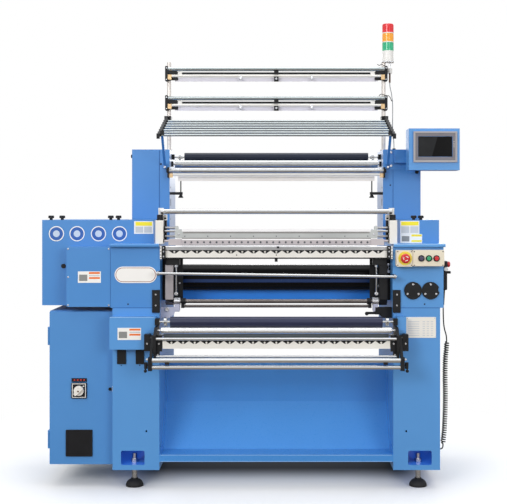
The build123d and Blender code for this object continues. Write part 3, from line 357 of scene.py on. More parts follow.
# Lenses of the stack light: deep clean colour, glossy, with a little glow in place of light held inside.
RED_LENS = Finish("polycarbonate_red_moulded", "#DC2A32", "#CF222B", (0.12, 0.2), ior=1.58, glow=0.12)
AMBER_LENS = RED_LENS.tinted("polycarbonate_amber_moulded", "#F0A637", "#E89C2D")
GREEN_LENS = RED_LENS.tinted("polycarbonate_green_moulded", "#35B384", "#2CA677")
# Screen behind glass, switched off: dark, with a painted reflection that makes its upper left paler.
SCREEN_GLASS = Finish("glass_screen_dark", "#101011", "#0D0D0E", (0.08, 0.12), ior=1.52, drift=90.0,
                      height=0.0, specular=0.12)
SCREEN_SHEEN = SCREEN_GLASS.tinted("glass_screen_sheen", "#2E2F31", "#27282A")
BEZEL_INNER = Finish("abs_bezel_grey_painted", "#74727B", "#6C6A73", (0.34, 0.44), pitch=1.0, height=0.01)
BEZEL_GREY = BEZEL_INNER.tinted("abs_bezel_silver_painted", "#AAA7A8", "#A09D9F")
# Lavender-tinted strips of the yarn stations, and the pale strip under the feed.
STRIP_PALE = Finish("acrylic_strip_pale", "#E8E6F1", "#E3E1ED", (0.28, 0.32), pitch=2.0, height=0.0)
STRIP_CREAM = STRIP_PALE.tinted("nylon_strip_cream", "#F7F3EE", "#F2EDE7", roughness=(0.34, 0.4))
# Jacket of the pendant cord and of the grey lead.
CORD_BLACK = Finish("polyurethane_cord_black", "#0C0C0E", "#101013", (0.24, 0.32), pitch=1.2, height=0.005,
                    drift=30.0, specular=0.28)
CORD_GREY = Finish("pvc_cord_grey", "#8F9399", "#84888E", (0.35, 0.45), pitch=1.2, height=0.02, drift=30.0)
BROWN_PLASTIC = Finish("nylon_brown_moulded", "#6B4A35", "#5F412E", pitch=1.0, height=0.02)
GREEN_TERMINAL = BROWN_PLASTIC.tinted("nylon_green_moulded", "#5E8F55", "#54844C")
# Galvanised sheet inside the cabinet: pale with large crystals.
GALVANISED = Finish("steel_galvanised", "#BFC3C6", "#A9AEB2", (0.3, 0.45), metallic=0.8, pitch=8.0,
                    height=0.01, drift=14.0)


# Shapes

class Facing(Enum):
    """Direction that a fitting looks in."""
    FRONT = (0.0, -1.0, 0.0)
    BACK = (0.0, 1.0, 0.0)
    RIGHT = (1.0, 0.0, 0.0)
    LEFT = (-1.0, 0.0, 0.0)
    UP = (0.0, 0.0, 1.0)
    DOWN = (0.0, 0.0, -1.0)


class Piece:
    """Mesh of one piece, collected from closed parts in millimetres of the machine."""

    def __init__(self, name: str, body: str = "machine") -> None:
        """Start an empty piece that rides on a body."""
        self.name = name
        self.body = body
        self.mesh = bmesh.new()
        self.finishes: list[Finish] = []
        self.index = 0
        self.smooth = False

    def use(self, finish: Finish, smooth: bool = False) -> "Piece":
        """Set the finish and shading of the parts that follow."""
        if finish not in self.finishes:
            self.finishes.append(finish)
        self.index = self.finishes.index(finish)
        self.smooth = smooth
        return self

    def faces(self, points: Sequence[Point], rings: Sequence[Sequence[int]]) -> None:
        """Add faces between points.

        Args:
            points: corners in mm.
            rings: each face as indices of those corners.
        """
        corners = [self.mesh.verts.new(at(*p)) for p in points]
        for ring in rings:
            face = self.mesh.faces.new([corners[i] for i in ring])
            face.material_index = self.index
            face.smooth = self.smooth

    def block(self, x: Range, y: Range, z: Range, edge: float = 0.8) -> "Piece":
        """Add a box with eased edges.

        Args:
            x, y, z: ranges in mm.
            edge: width of the eased edges in mm.
        """
        low, high = at(x[0], y[0], z[0]), at(x[1], y[1], z[1])
        size = high - low
        place = Matrix.Translation((low + high) / 2) @ Matrix.Diagonal((*size, 1.0))
        made = bmesh.ops.create_cube(self.mesh, size=1.0, matrix=place)["verts"]
        around = {face for vert in made for face in vert.link_faces}
        for face in around:
            face.material_index = self.index
            face.smooth = self.smooth
        width = min(edge * MM, 0.3 * min(size))
        if width > 0:
            edges = list({rim for face in around for rim in face.edges})
            bmesh.ops.bevel(self.mesh, geom=edges, offset=width, segments=2, profile=0.6, affect="EDGES",
                            material=self.index)
        return self

    def plate(self, outline: Sequence[Range], y: Range) -> "Piece":
        """Add a flat plate from an outline of (x, z) points, over a Y range."""
        count = len(outline)
        points = [(px, depth, pz) for depth in y for px, pz in outline]
        rings = [tuple(range(count)), tuple(reversed(range(count, 2 * count)))]
        rings += [(i, i + count, (i + 1) % count + count, (i + 1) % count) for i in range(count)]
        self.faces(points, rings)
        return self

    def turned(self, centre: Point, facing: Facing | Vector, profile: Sequence[Range], sides: int = 24,
               hexed: Sequence[int] = ()) -> "Piece":
        """Add a turned part.

        Args:
            centre: point on the axis where the profile starts, in mm.
            facing: direction of the axis.
            profile: (distance along the axis, radius) pairs, closed by flat ends.
            sides: facets round the axis.
            hexed: rows of the profile that are hexagonal, such as a key socket.
        """
        axis = Vector(facing.value if isinstance(facing, Facing) else facing).normalized()
        side = axis.orthogonal().normalized()
        up = axis.cross(side)
        points: list[Point] = []
        for row, (along, radius) in enumerate(profile):
            for i in range(sides):
                angle = 2 * math.pi * i / sides
                reach = radius
                if row in hexed:
                    reach /= math.cos((angle + math.pi / 6) % (math.pi / 3) - math.pi / 6)
                spot = Vector(centre) + axis * along + (side * math.cos(angle) + up * math.sin(angle)) * reach
                points.append(tuple(spot))
        self.faces(points, tube_rings(len(profile), sides))
        return self

    def screw(self, centre: Point, facing: Facing = Facing.FRONT, dia: float = 10.0) -> "Piece":
        """Add the head of a socket cap screw with its hexagon recess."""
        r = dia / 2
        profile = ((-0.5, r), (0.5 * r, r), (0.65 * r, 0.86 * r), (0.65 * r, 0.5 * r), (0.2 * r, 0.5 * r))
        return self.turned(centre, facing, profile, sides=18, hexed=(3, 4))

    def dome_screw(self, centre: Point, facing: Facing = Facing.FRONT, dia: float = 9.0) -> "Piece":
        """Add the low dome of a button head screw with its recess."""
        r = dia / 2
        profile = ((-0.5, r), (0.12 * r, r), (0.42 * r, 0.75 * r), (0.55 * r, 0.42 * r), (0.2 * r, 0.4 * r))
        return self.turned(centre, facing, profile, sides=18, hexed=(3, 4))

    def wire(self, points: Sequence[Point], dia: float, sides: int = 10) -> "Piece":
        """Add a bent wire of round section through points in mm."""
        route = [Vector(p) for p in points]
        corners: list[Point] = []
        for i, spot in enumerate(route):
            before, after = route[max(i - 1, 0)], route[min(i + 1, len(route) - 1)]
            run = (after - before).normalized()
            side = run.cross(SKEW).normalized()
            up = run.cross(side)
            for j in range(sides):
                angle = 2 * math.pi * j / sides
                corners.append(tuple(spot + (side * math.cos(angle) + up * math.sin(angle)) * dia / 2))
        self.faces(corners, tube_rings(len(route), sides))
        return self

    def settle(self) -> None:
        """Sort points and faces by place, because a bevel leaves them in another order in each run."""
        for parts, place in ((self.mesh.verts, lambda vert: tuple(vert.co)),
                             (self.mesh.faces, lambda face: tuple(face.calc_center_median()))):
            order = {part: number for number, part in enumerate(sorted(parts, key=place))}
            parts.sort(key=order.get)

    def done(self, slot: str, replaces: Sequence[str] = ()) -> bpy.types.Object:
        """Turn the collected parts into an object that rides on its body.

        Args:
            slot: name of a material slot; not used.
            replaces: CAD nodes that it stands for.

        Returns:
            The new object.
        """
        bmesh.ops.recalc_face_normals(self.mesh, faces=self.mesh.faces)
        self.settle()
        data = bpy.data.meshes.new(self.name)
        self.mesh.to_mesh(data)
        self.mesh.free()
        for finish in self.finishes:
            data.materials.append(finish.material())
        made = add_object(self.name, data)
        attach(made, self.body)
        if replaces:
            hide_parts(*replaces)
        LOG.info("piece %s: %d faces, rides on %s", self.name, len(data.polygons), self.body)
        return made


# CAD nodes

Spot = Callable[[Vector], bool]


Zone = tuple[Finish, Spot]

# CAD nodes that are one material throughout.
PLAIN_NODES: dict[Finish, tuple[str, ...]] = {
    BLUE_COAT: ("cabinet_shell", "take_down_cover", "panel_case"),
    BLUE_UPPER: ("left_gear_housing", "pattern_drive_box", "pattern_drive_cover", "tower_arms"),
    BLUE_INSIDE: ("band_chute",),
    BLUE_DOOR: ("cabinet_door",),
    BLUE_BEAM: ("main_beam",),
    GROUND_STEEL: ("main_shaft", "needle_rail"),
    BLACK_OXIDE: ("clamp_bar", "take_down_brackets", "feed_brackets", "creel_brackets", "door_lock"),
    GUIDE_GREY: ("guide_plate",),
    CREAM_ENAMEL: ("weft_heads", "lower_comb", "switch_handle"),
    CHROME: ("start_rod", "frame_tubes", "chrome_roller"),
    CHROME_HIGHLIGHT: ("press_roller",),
    POST_SATIN: ("creel_posts",),
    BLACK_ABS: ("thumb_knobs", "door_fittings"),
    RED_CAP: ("estop_button", "button_red", "pendant_button"),
    BLACK_CAP: ("button_black",),
    GREEN_CAP: ("button_green",),
}


def in_foot_window(p: Vector) -> bool:
    """Whether a face of a leg lies in the walls of its foot window."""
    return p.y > 3 and 60 < p.z < 176 and 560 < abs(p.x) < 700


# CAD nodes with parts of another material: the main finish, then others, each with a test of a face's middle
# in mm of the machine. The last test that holds wins.
ZONED_NODES: dict[str, tuple[Finish, tuple[Zone, ...]]] = {
    "right_gear_housing": (BLUE_COAT, ((BLUE_UPPER, lambda p: p.z > 1085),)),
    "left_leg": (BLUE_COAT, ((BLUE_WINDOW, in_foot_window),)),
    "right_leg": (BLUE_COAT, ((BLUE_WINDOW, in_foot_window),)),
    # Inner sides of the towers take the pale copy of the blue: painted sheen.
    "left_tower": (BLUE_UPPER, ((BLUE_SHEEN_COAT, lambda p: p.x > -514.6),)),
    "right_tower": (BLUE_UPPER, ((BLUE_SHEEN_COAT, lambda p: p.x < 514.6),)),
    "levelling_feet": (FOOT_RUBBER, ((ZINC_PLATE, lambda p: p.z > 36.5),)),
    "shaft_guard": (BLACK_LACQUER, ((BLACK_OXIDE, lambda p: p.y < 110),)),
    "comb_plate": (CREAM_ENAMEL, ((WHITE_ABS, lambda p: abs(p.x) > 503),)),
    "rocker_arms": (OILED_STEEL, (
        (BLACK_OXIDE, lambda p: p.x > 456 or (p.x < -456 and 826 < p.z < 862)),
        (CAST_GREY, lambda p: p.x < -456 and p.z > 862),
        (BLACK_OXIDE, lambda p: 403 < abs(p.x) < 425 and (p.y > 51 or p.z > 809)),
        (CHROME, lambda p: 436 < abs(p.x) < 450))),
    # The left bearing bracket's pale lavender is a painted reflection on its blue paint.
    "rocker_bearings": (BRACKET_REFLECTION, ((ZINC_PLATE, lambda p: p.z > 803), (BLACK_OXIDE, lambda p: p.x > 455))),
    "weft_bar": (ANODISED, ((GROUND_STEEL, lambda p: abs(p.x) > 448.5),)),
    "front_plates": (BLACK_OXIDE, (
        (GROUND_STEEL, lambda p: 511 < abs(p.x) < 521 and p.z > 920 and p.y < 0.5),
        (ZINC_PLATE, lambda p: p.y < -7.5 and p.x > 560 and 835 < p.z < 915))),
    "take_down_roller": (NAVY_RUBBER, ((CHROME, lambda p: abs(p.x) > 460.1),)),
    "return_roller": (GREEN_GREY_RUBBER, ((CHROME, lambda p: abs(p.x) > 488.1),)),
    "frame_levers": (BLACK_OXIDE, ((WHITE_ABS, lambda p: abs(p.x) > 545.4 and p.z > 585),)),
    "feed_roller": (FEED_RUBBER, ((CHROME, lambda p: abs(p.x) > 451.1),)),
    "guide_rods": (CHROME, ((ROD_STEEL, lambda p: p.y > 140 and 1550 < p.z < 1700),
                            (ROD_STEEL, lambda p: p.z > 1700))),
    "thread_tubes": (CREAM_ENAMEL, (
        (BRASS, lambda p: abs(p.x) > 514.9 or (p.z < 1500 and abs(p.x) > 495.9)),)),
    "drop_bars": (STRIP_PALE, ((STRIP_CREAM, lambda p: p.z < 1500),)),
    "control_modules": (GREY_ABS, ((GALVANISED, lambda p: p.y > 552.9),)),
    "switch_boxes": (CREAM_BOX, (
        (BLACK_ABS, lambda p: p.y < -52.1 and p.x > 607),
        (YELLOW_DISC, lambda p: p.y < -52.1 and math.hypot(p.x - 560.5, p.z - 1018) < 31))),
    "pendant_body": (BLACK_ABS, ((CREAM_ENAMEL, lambda p: p.y < 46.5 and 956 < p.z < 976),)),
    "lamp_base": (WHITE_ABS, (
        (GREY_ABS, lambda p: p.z > 2050),
        (BROWN_PLASTIC, lambda p: p.z < 1906.5),
        (ZINC_PLATE, lambda p: 1932.5 < p.z < 1963.5))),
    "lamp_lenses": (RED_LENS, ((AMBER_LENS, lambda p: 2060 < p.z < 2104),
                               (GREEN_LENS, lambda p: p.z < 2060))),
}


class Coatings:
    """Finishes of the CAD nodes, with the parts of a node that are another material."""

    def coat(self, node: str, finish: Finish, zones: Sequence[Zone] = ()) -> None:
        """Give a CAD node its finish.

        Args:
            node: name of the node.
            finish: finish of the whole node.
            zones: other finishes, each with a test of a face's middle in mm of the machine.
        """
        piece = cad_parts[node]
        piece.data.materials.clear()
        for each in (finish, *[zone for zone, _ in zones]):
            piece.data.materials.append(each.material())
        for face in piece.data.polygons:
            face.material_index = 0
            middle = face.center
            spot = Vector(((middle.x - FIELD_MIDDLE) / MM, (middle.y - HOUSING_FRONT) / MM, middle.z / MM))
            for number, (_, inside) in enumerate(zones, 1):
                if inside(spot):
                    face.material_index = number
        LOG.info("node %s: %s", node, finish.name)

    def build(self) -> None:
        """Coat every CAD node that stays visible."""
        for finish, nodes in PLAIN_NODES.items():
            for node in nodes:
                self.coat(node, finish)
        for node, (finish, zones) in ZONED_NODES.items():
            self.coat(node, finish, zones)


# Cords

@dataclass
class Cords:
    """The pendant's curly cord and the lead of the stack light.

    Attributes:
        wire: diameter of the pendant's cord.
        curl: diameter of the curl to the middle of its wire.
        pitch: rise of one turn.
        steps: points in one turn.
        lead: diameter of the grey lead.
        pendant_y, lamp_y: planes that the two cords hang in.
        grow: number of turns over which the curl grows to its full width.
        upper, curly, lower: the pendant cord's route, top to bottom, as (x, z).
        lamp: route of the stack light's lead.
    """
    wire: float = 5.6
    curl: float = 18.6
    pitch: float = 10.2
    steps: int = 12
    lead: float = 4.0
    pendant_y: float = 75.0
    lamp_y: float = 575.0
    grow: float = 0.9
    upper: tuple[Range, ...] = ((746.5, 803), (746.5, 756), (750, 702), (761, 668), (762, 643))
    curly: tuple[Range, ...] = ((762, 643), (762, 615), (756, 570), (754.5, 490), (757, 385), (753, 262),
                                (749, 216), (745.5, 196), (745.5, 182))
    lower: tuple[Range, ...] = ((745.5, 182), (745.5, 168), (738, 159), (725, 159))
    lamp: tuple[Range, ...] = ((563, 1862), (563, 1842), (572, 1808), (577, 1765), (578, 1712),
                               (576.5, 1655), (579, 1605), (584, 1568), (584, 1535))

    def spline(self, name: str, points: Sequence[Vector], dia: float) -> bpy.types.Object:
        """Make a curve object with one smooth spline.

        Args:
            name: the piece's name.
            points: control points in metres.
            dia: thickness in mm, or 0 for a bare line.

        Returns:
            The curve object, linked to the scene.
        """
        data = bpy.data.curves.new(name, "CURVE")
        data.dimensions = "3D"
        data.bevel_depth = dia / 2 * MM
        data.bevel_resolution = 3
        line = data.splines.new("NURBS")
        line.points.add(len(points) - 1)
        for control, place in zip(line.points, points):
            control.co = (*place, 1.0)
        line.order_u = 3
        line.use_endpoint_u = True
        line.resolution_u = 4
        return add_object(name, data)

    def line_of(self, points: Sequence[Vector]) -> list[Vector]:
        """Points along the smooth line of a route, read from its own spline."""
        route = self.spline("route", points, 0.0)
        route.data.splines[0].resolution_u = 24
        drawn = bpy.data.meshes.new_from_object(route)
        places = [vert.co.copy() for vert in drawn.vertices]
        bpy.data.meshes.remove(drawn)
        bpy.data.objects.remove(route)
        return places

    def helix(self, line: Sequence[Vector]) -> list[Vector]:
        """Turns of the curl round a line.

        Args:
            line: points along the middle of the curl, in metres.

        Returns:
            Control points of the turns, which grow out of the line and close in to it again.
        """
        lengths = [0.0]
        for before, after in zip(line, line[1:]):
            lengths.append(lengths[-1] + (after - before).length)
        total = lengths[-1]
        count = round(total / (self.pitch * MM)) * self.steps
        points = []
        segment = 0
        for i in range(count + 1):
            along = total * i / count
            while segment < len(lengths) - 2 and lengths[segment + 1] < along:
                segment += 1
            share = (along - lengths[segment]) / max(lengths[segment + 1] - lengths[segment], 1e-9)
            middle = line[segment].lerp(line[segment + 1], share)
            run = (line[segment + 1] - line[segment]).normalized()
            across = run.cross(Vector((0.0, 1.0, 0.0))).normalized()
            grown = min(1.0, min(i, count - i) / (self.steps * self.grow))
            reach = self.curl / 2 * MM * grown * grown * (3 - 2 * grown)
            angle = 2 * math.pi * i / self.steps
            points.append(middle + (across * math.cos(angle) + Vector((0, 1, 0)) * math.sin(angle)) * reach)
        return points

    def build(self) -> None:
        upper, curly, lower = ([at(x, self.pendant_y, z) for x, z in route]
                               for route in (self.upper, self.curly, self.lower))
        points = upper[:-1] + self.helix(self.line_of(curly)) + lower[1:]
        cord = self.spline("pendant_cord", points, self.wire)
        cord.data.materials.append(CORD_BLACK.material())
        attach(cord, "machine")
        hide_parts("cord_lead", "curly_cord")
        lead = self.spline("lamp_cord", [at(x, self.lamp_y, z) for x, z in self.lamp], self.lead)
        lead.data.materials.append(CORD_GREY.material())
        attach(lead, "machine")
        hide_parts("lamp_lead")
        LOG.info("cords laid")


# Fittings and dressing

@dataclass
class Housings:
    """Screws, seams, plates and signs on the housings, towers and legs.

    Attributes:
        cover: front plane of the pattern drive's cover.
        box: front plane of the upper boxes.
        tower: front plane of the towers.
        seam: joint between the gear housings and the legs.
    """
    cover: float = 2.0
    box: float = 80.0
    tower: float = 424.0
    seam: float = 798.0
    cover_screws: tuple[Range, ...] = ((-917, 1057), (-738, 1057), (-917, 933), (-917, 809), (-738, 809))
    disc_x: tuple[float, ...] = (-985.0, -892.5, -796.5, -702.5)
    disc_z: float = 1122.5
    disc_radius: float = 34.0

    def hole(self, holes: Piece, centre: Point, facing: Facing, dia: float) -> None:
        """Draw a small open hole as a dark disc: painted shade in place of the hole's depth."""
        holes.turned(centre, facing, ((-0.4, dia / 2), (0.5, dia / 2), (0.6, dia / 2 - 0.6)), 16)

    def screws(self) -> None:
        """Cover screws, tower bolts, splice bolts and the small open holes."""
        heads = Piece("housing_screws").use(ZINC_PLATE)
        for x, z in self.cover_screws:
            heads.dome_screw((x, self.cover, z))
        for x, z, y in ((552, 1507, self.tower - 3), (552, 1442, self.tower - 3), (536, 1436, 414),
                        (-536, 1436, 414)):
            heads.screw((x, y, z), dia=12)
        for side in (-1, 1):
            for z in (857, 809):
                heads.screw((side * 530, -8, z), dia=8)
            for x, z, y in ((557, 652, -94), (503, 655, -120), (508, 608, -120)):
                heads.screw((side * x, y, z), dia=8)
        for x in (-600, 650):
            for z in (1100, 1164):
                heads.dome_screw((x, 704, z), Facing.BACK, 9)
        heads.done("steel")
        holes = Piece("housing_holes").use(BLACK_ABS)
        for x, y, z, dia in ((-652.6, 0, 814, 7), (652.5, 0, 814, 7), (-682, 0, 545, 5), (-601, 0, 545, 5),
                             (549, self.tower + 2, 1349, 7), (-556, self.tower + 2, 1451, 9)):
            self.hole(holes, (x, y, z), Facing.FRONT, dia)
        for side in (-1, 1):
            for z, dia in ((1339, 9), (1418, 8), (1186, 7)):
                self.hole(holes, (side * 513.8, 470, z), Facing.RIGHT if side < 0 else Facing.LEFT, dia)
            # A dark strip for an open slot: painted shade.
            holes.block(beside(side, 513.0, 514.2), (470, 478), (1250, 1284), 0.3)
        holes.turned((-695, 500, 1492), Facing.LEFT, ((0, 5), (5, 5), (6, 9), (13, 9), (15, 7)), 18)
        holes.done("black_plastic")

    def seams(self) -> None:
        """Dark lines at the joints where sheets meet, painted highlight lines along folded edges, and the tabs
        over the take-down plates.
        """
        seam_and_highlight_strips = Piece("sheet_seams_and_edge_highlights").use(BLUE_SHADOW)
        for x in ((-720.5, -546.5), (546.5, 720.5)):
            seam_and_highlight_strips.block(x, (-0.5, 0.5), (self.seam - 1.4, self.seam + 1.4), 0.2)
        seam_and_highlight_strips.block((-730.6, -729.2), (-0.6, 1.0), (803, 1064), 0.2)
        for x in (-563.5, 562.5):
            seam_and_highlight_strips.block((x - 0.9, x + 0.9), (self.tower - 0.6, self.tower + 0.6), (1188, 1516), 0.2)
        # Painted highlight lines along the lit edges of the take-down cover, the chute's front flange and the
        # right housing's ledge.
        seam_and_highlight_strips.use(BLUE_EDGE_HIGHLIGHT).block((-724, -532), (-60.7, -59.9), (760.6, 763), 0.2)
        seam_and_highlight_strips.block((-509, 509), (-0.6, 0.2), (148.6, 150.6), 0.2)
        seam_and_highlight_strips.block((-509, 509), (-0.6, 0.2), (121, 123), 0.2)
        seam_and_highlight_strips.block((514, 739), (-25.6, -24.8), (1077, 1079.4), 0.2)
        seam_and_highlight_strips.done("blue_paint")
        tabs = Piece("cover_tabs").use(BLUE_COAT)
        for side in (-1, 1):
            tabs.block(beside(side, 529, 559), (-63, -60), (693, 710), 0.8)
        tabs.done("blue_paint")

    def discs(self) -> None:
        """Four blue discs in white rings, left without their signs."""
        signs = Piece("round_signs")
        r = self.disc_radius
        layers = ((WHITE_VINYL, ((-0.3, r), (0.7, r), (0.8, r - 0.3))),
                  (BLUE_VINYL, ((0.7, r - 4.4), (1.0, r - 4.4), (1.05, r - 4.8))),
                  (BLUE_VINYL_PALE, ((1.0, 15), (1.25, 15), (1.3, 14.6))))
        for x in self.disc_x:
            for vinyl, profile in layers:
                signs.use(vinyl).turned((x, self.box, self.disc_z), Facing.FRONT, profile, 48)
        signs.done("blue_paint")

    def label(self, name: str, x: Range, y: float, z: Range,
              bands: Sequence[tuple[Range, Range, Finish]]) -> None:
        """Put up one plain white label with its bands of colour.

        Args:
            name: the piece's name.
            x, z: ranges of the label.
            y: plane that it is stuck on.
            bands: x range, z range and finish of each printed band.
        """
        label = Piece(name).use(WHITE_VINYL).block(x, (y - 0.6, y + 0.2), z, 0.2)
        for band_x, band_z, ink in bands:
            label.use(ink).block(band_x, (y - 0.8, y - 0.5), band_z, 0.0)
        label.done("white_plastic")

    def labels(self) -> None:
        """The plain labels of the front."""
        self.label("label_left_box", (-637, -551), self.box, (1122, 1178.5),
                   (((-630.5, -556.5), (1158, 1175), YELLOW_VINYL), ((-630.5, -596), (1127, 1154), PALE_INK),
                    ((-592, -557), (1127, 1154), PALE_INK)))
        self.label("label_right_upper", (555, 640.5), self.box, (1121.5, 1180),
                   (((559, 637), (1159.5, 1176.5), YELLOW_VINYL), ((559, 596), (1126, 1156), PALE_INK),
                    ((600, 637), (1126, 1156), PALE_INK)))
        self.label("label_right_lower", (555, 653), self.box, (1081, 1121),
                   (((605, 651), (1110, 1119), YELLOW_VINYL), ((605, 651), (1086, 1094), YELLOW_VINYL),
                    ((562, 596), (1088, 1112), GREY_INK)))
        self.label("label_cover", (-873.5, -772.5), self.cover, (908, 958),
                   (((-825, -777), (947, 955.5), ORANGE_VINYL), ((-825, -777), (925, 933), ORANGE_VINYL),
                    ((-868, -832), (916, 944), GREY_INK), ((-824, -778), (937, 942), PALE_INK)))
        self.label("label_take_down", (-689.5, -587.5), -60.0, (664, 716.5),
                   (((-638, -590), (705, 713), ORANGE_VINYL), ((-638, -590), (683, 691), ORANGE_VINYL),
                    ((-684, -648), (672, 700), GREY_INK), ((-637, -591), (695, 700), PALE_INK)))

    def stadium(self, x: Range, z: Range, inset: float) -> list[Range]:
        """Outline of a plate with round ends, drawn in by an inset."""
        radius = (z[1] - z[0]) / 2 - inset
        middle = (z[0] + z[1]) / 2
        ends = ((x[1] - inset - radius, -90), (x[0] + inset + radius, 90))
        return [(centre + radius * math.cos(math.radians(start + 7.5 * i)),
                 middle + radius * math.sin(math.radians(start + 7.5 * i)))
                for centre, start in ends for i in range(25)]

    def name_plate(self) -> None:
        """Blank plate with round ends and a printed border."""
        plate = Piece("blank_plate")
        x, z = (-711.5, -526.0), (907.5, 979.5)
        for inset, depth, ink in ((0.0, 1.6, WHITE_VINYL), (4.6, 1.8, MAROON_INK), (7.0, 2.0, WHITE_VINYL)):
            plate.use(ink).plate(self.stadium(x, z, inset), (-depth, 0.0))
        plate.done("white_plastic")

    def data_plate(self) -> None:
        """Blank data plate on the right leg: riveted, ruled like a table, without words."""
        x, z = (571.5, 702.5), (666.0, 757.5)
        plate = Piece("data_plate").use(CREAM_PLATE).block(x, (-1.2, 0.0), z, 0.5)
        plate.use(PALE_INK)
        for row in range(7):
            level = z[1] - 22 - 10 * row
            plate.block((x[0] + 8, x[0] + 58), (-1.4, -1.1), (level, level + 3), 0.0)
            for column in range(3):
                start = x[0] + 72 + 18 * column
                plate.block((start, start + 11), (-1.4, -1.1), (level, level + 3), 0.0)
        plate.use(ZINC_PLATE)
        for px in (x[0] + 5, x[1] - 5):
            for pz in (z[0] + 5, z[1] - 5):
                plate.turned((px, -1.2, pz), Facing.FRONT, ((-0.2, 2.2), (0.5, 2.0), (0.9, 1.0)), 12)
        plate.done("white_plastic")

    def build(self) -> None:
        """Dress the housings."""
        self.screws()
        self.seams()
        self.discs()
        self.labels()
        self.name_plate()
        self.data_plate()


@dataclass
class NeedleBar:
    """Clamp screws, needles and small fittings of the needle bar.

    Attributes:
        clamps: number of clamps.
        pitch: distance between clamps.
        gauge: distance between needles, drawn at half the real number so that they show.
        reach: half the length of the row of needles.
    """
    clamps: int = 19
    pitch: float = 50.0
    gauge: float = 3.2
    reach: float = 414.0

    def clamp_screws(self, name: str, body: str, y: float, z: float) -> None:
        """One row of clamp screws in the notches of a toothed plate.

        Args:
            name: the piece's name.
            body: body that it rides on.
            y: plane that the heads stand on.
            z: height of the row.
        """
        row = Piece(name, body).use(SCREW_HIGHLIGHT)
        for i in range(self.clamps):
            row.screw(((i - (self.clamps - 1) / 2) * self.pitch, y, z), dia=8.5)
        row.done("steel")

    def needles(self) -> None:
        """Row of hooked needles standing in the needle rail."""
        row = Piece("needles", "needle_carrier").use(ZINC_PLATE)
        count = int(2 * self.reach / self.gauge) + 1
        for i in range(count):
            x = -self.reach + i * self.gauge
            row.wire(((x, 5.0, 1068), (x, 5.0, 1078), (x, 3.9, 1079.6), (x, 3.0, 1078.2)), 0.9, 4)
        row.done("steel")

    def fittings(self) -> None:
        """End screws, stub and stop of the needle bar."""
        dark = Piece("needle_bar_fittings", "needle_carrier").use(BLACK_OXIDE)
        dark.block((2, 13), (0.5, 4), (1060, 1069)).block((-7, 6), (14, 26), (1000, 1015))
        for x in (-175, 0):
            dark.turned((x, 7, 1030), Facing.FRONT, ((-0.5, 2.6), (0.4, 2.6), (0.5, 2.2)), 14)
        for side in (-1, 1):
            for z in (1061, 1046, 1031, 1019):
                dark.turned((side * 507.5, -12, z), Facing.FRONT, ((-0.5, 2.2), (0.4, 2.2), (0.5, 1.8)), 12)
        dark.done("black_steel")
        bright = Piece("needle_bar_end_screws", "needle_carrier").use(ZINC_PLATE)
        for side in (-1, 1):
            for z in (1062, 1046, 1024):
                bright.screw((side * 496, -8, z), dia=7)
            bright.turned((side * 443, 28, 858), Facing.FRONT, ((-9, 8), (9, 8), (10, 6)), 20)
            bright.turned((side * 443, 28, 984), Facing.DOWN, ((-1, 8), (8, 8), (9, 6)), 6)
        bright.done("steel")

    def build(self) -> None:
        """Dress the needle bar and the toothed plate of the take-down."""
        self.clamp_screws("needle_clamp_screws", "needle_carrier", 11.0, 1044.0)
        self.clamp_screws("lower_comb_screws", "machine", -112.0, 659.0)
        self.needles()
        self.fittings()


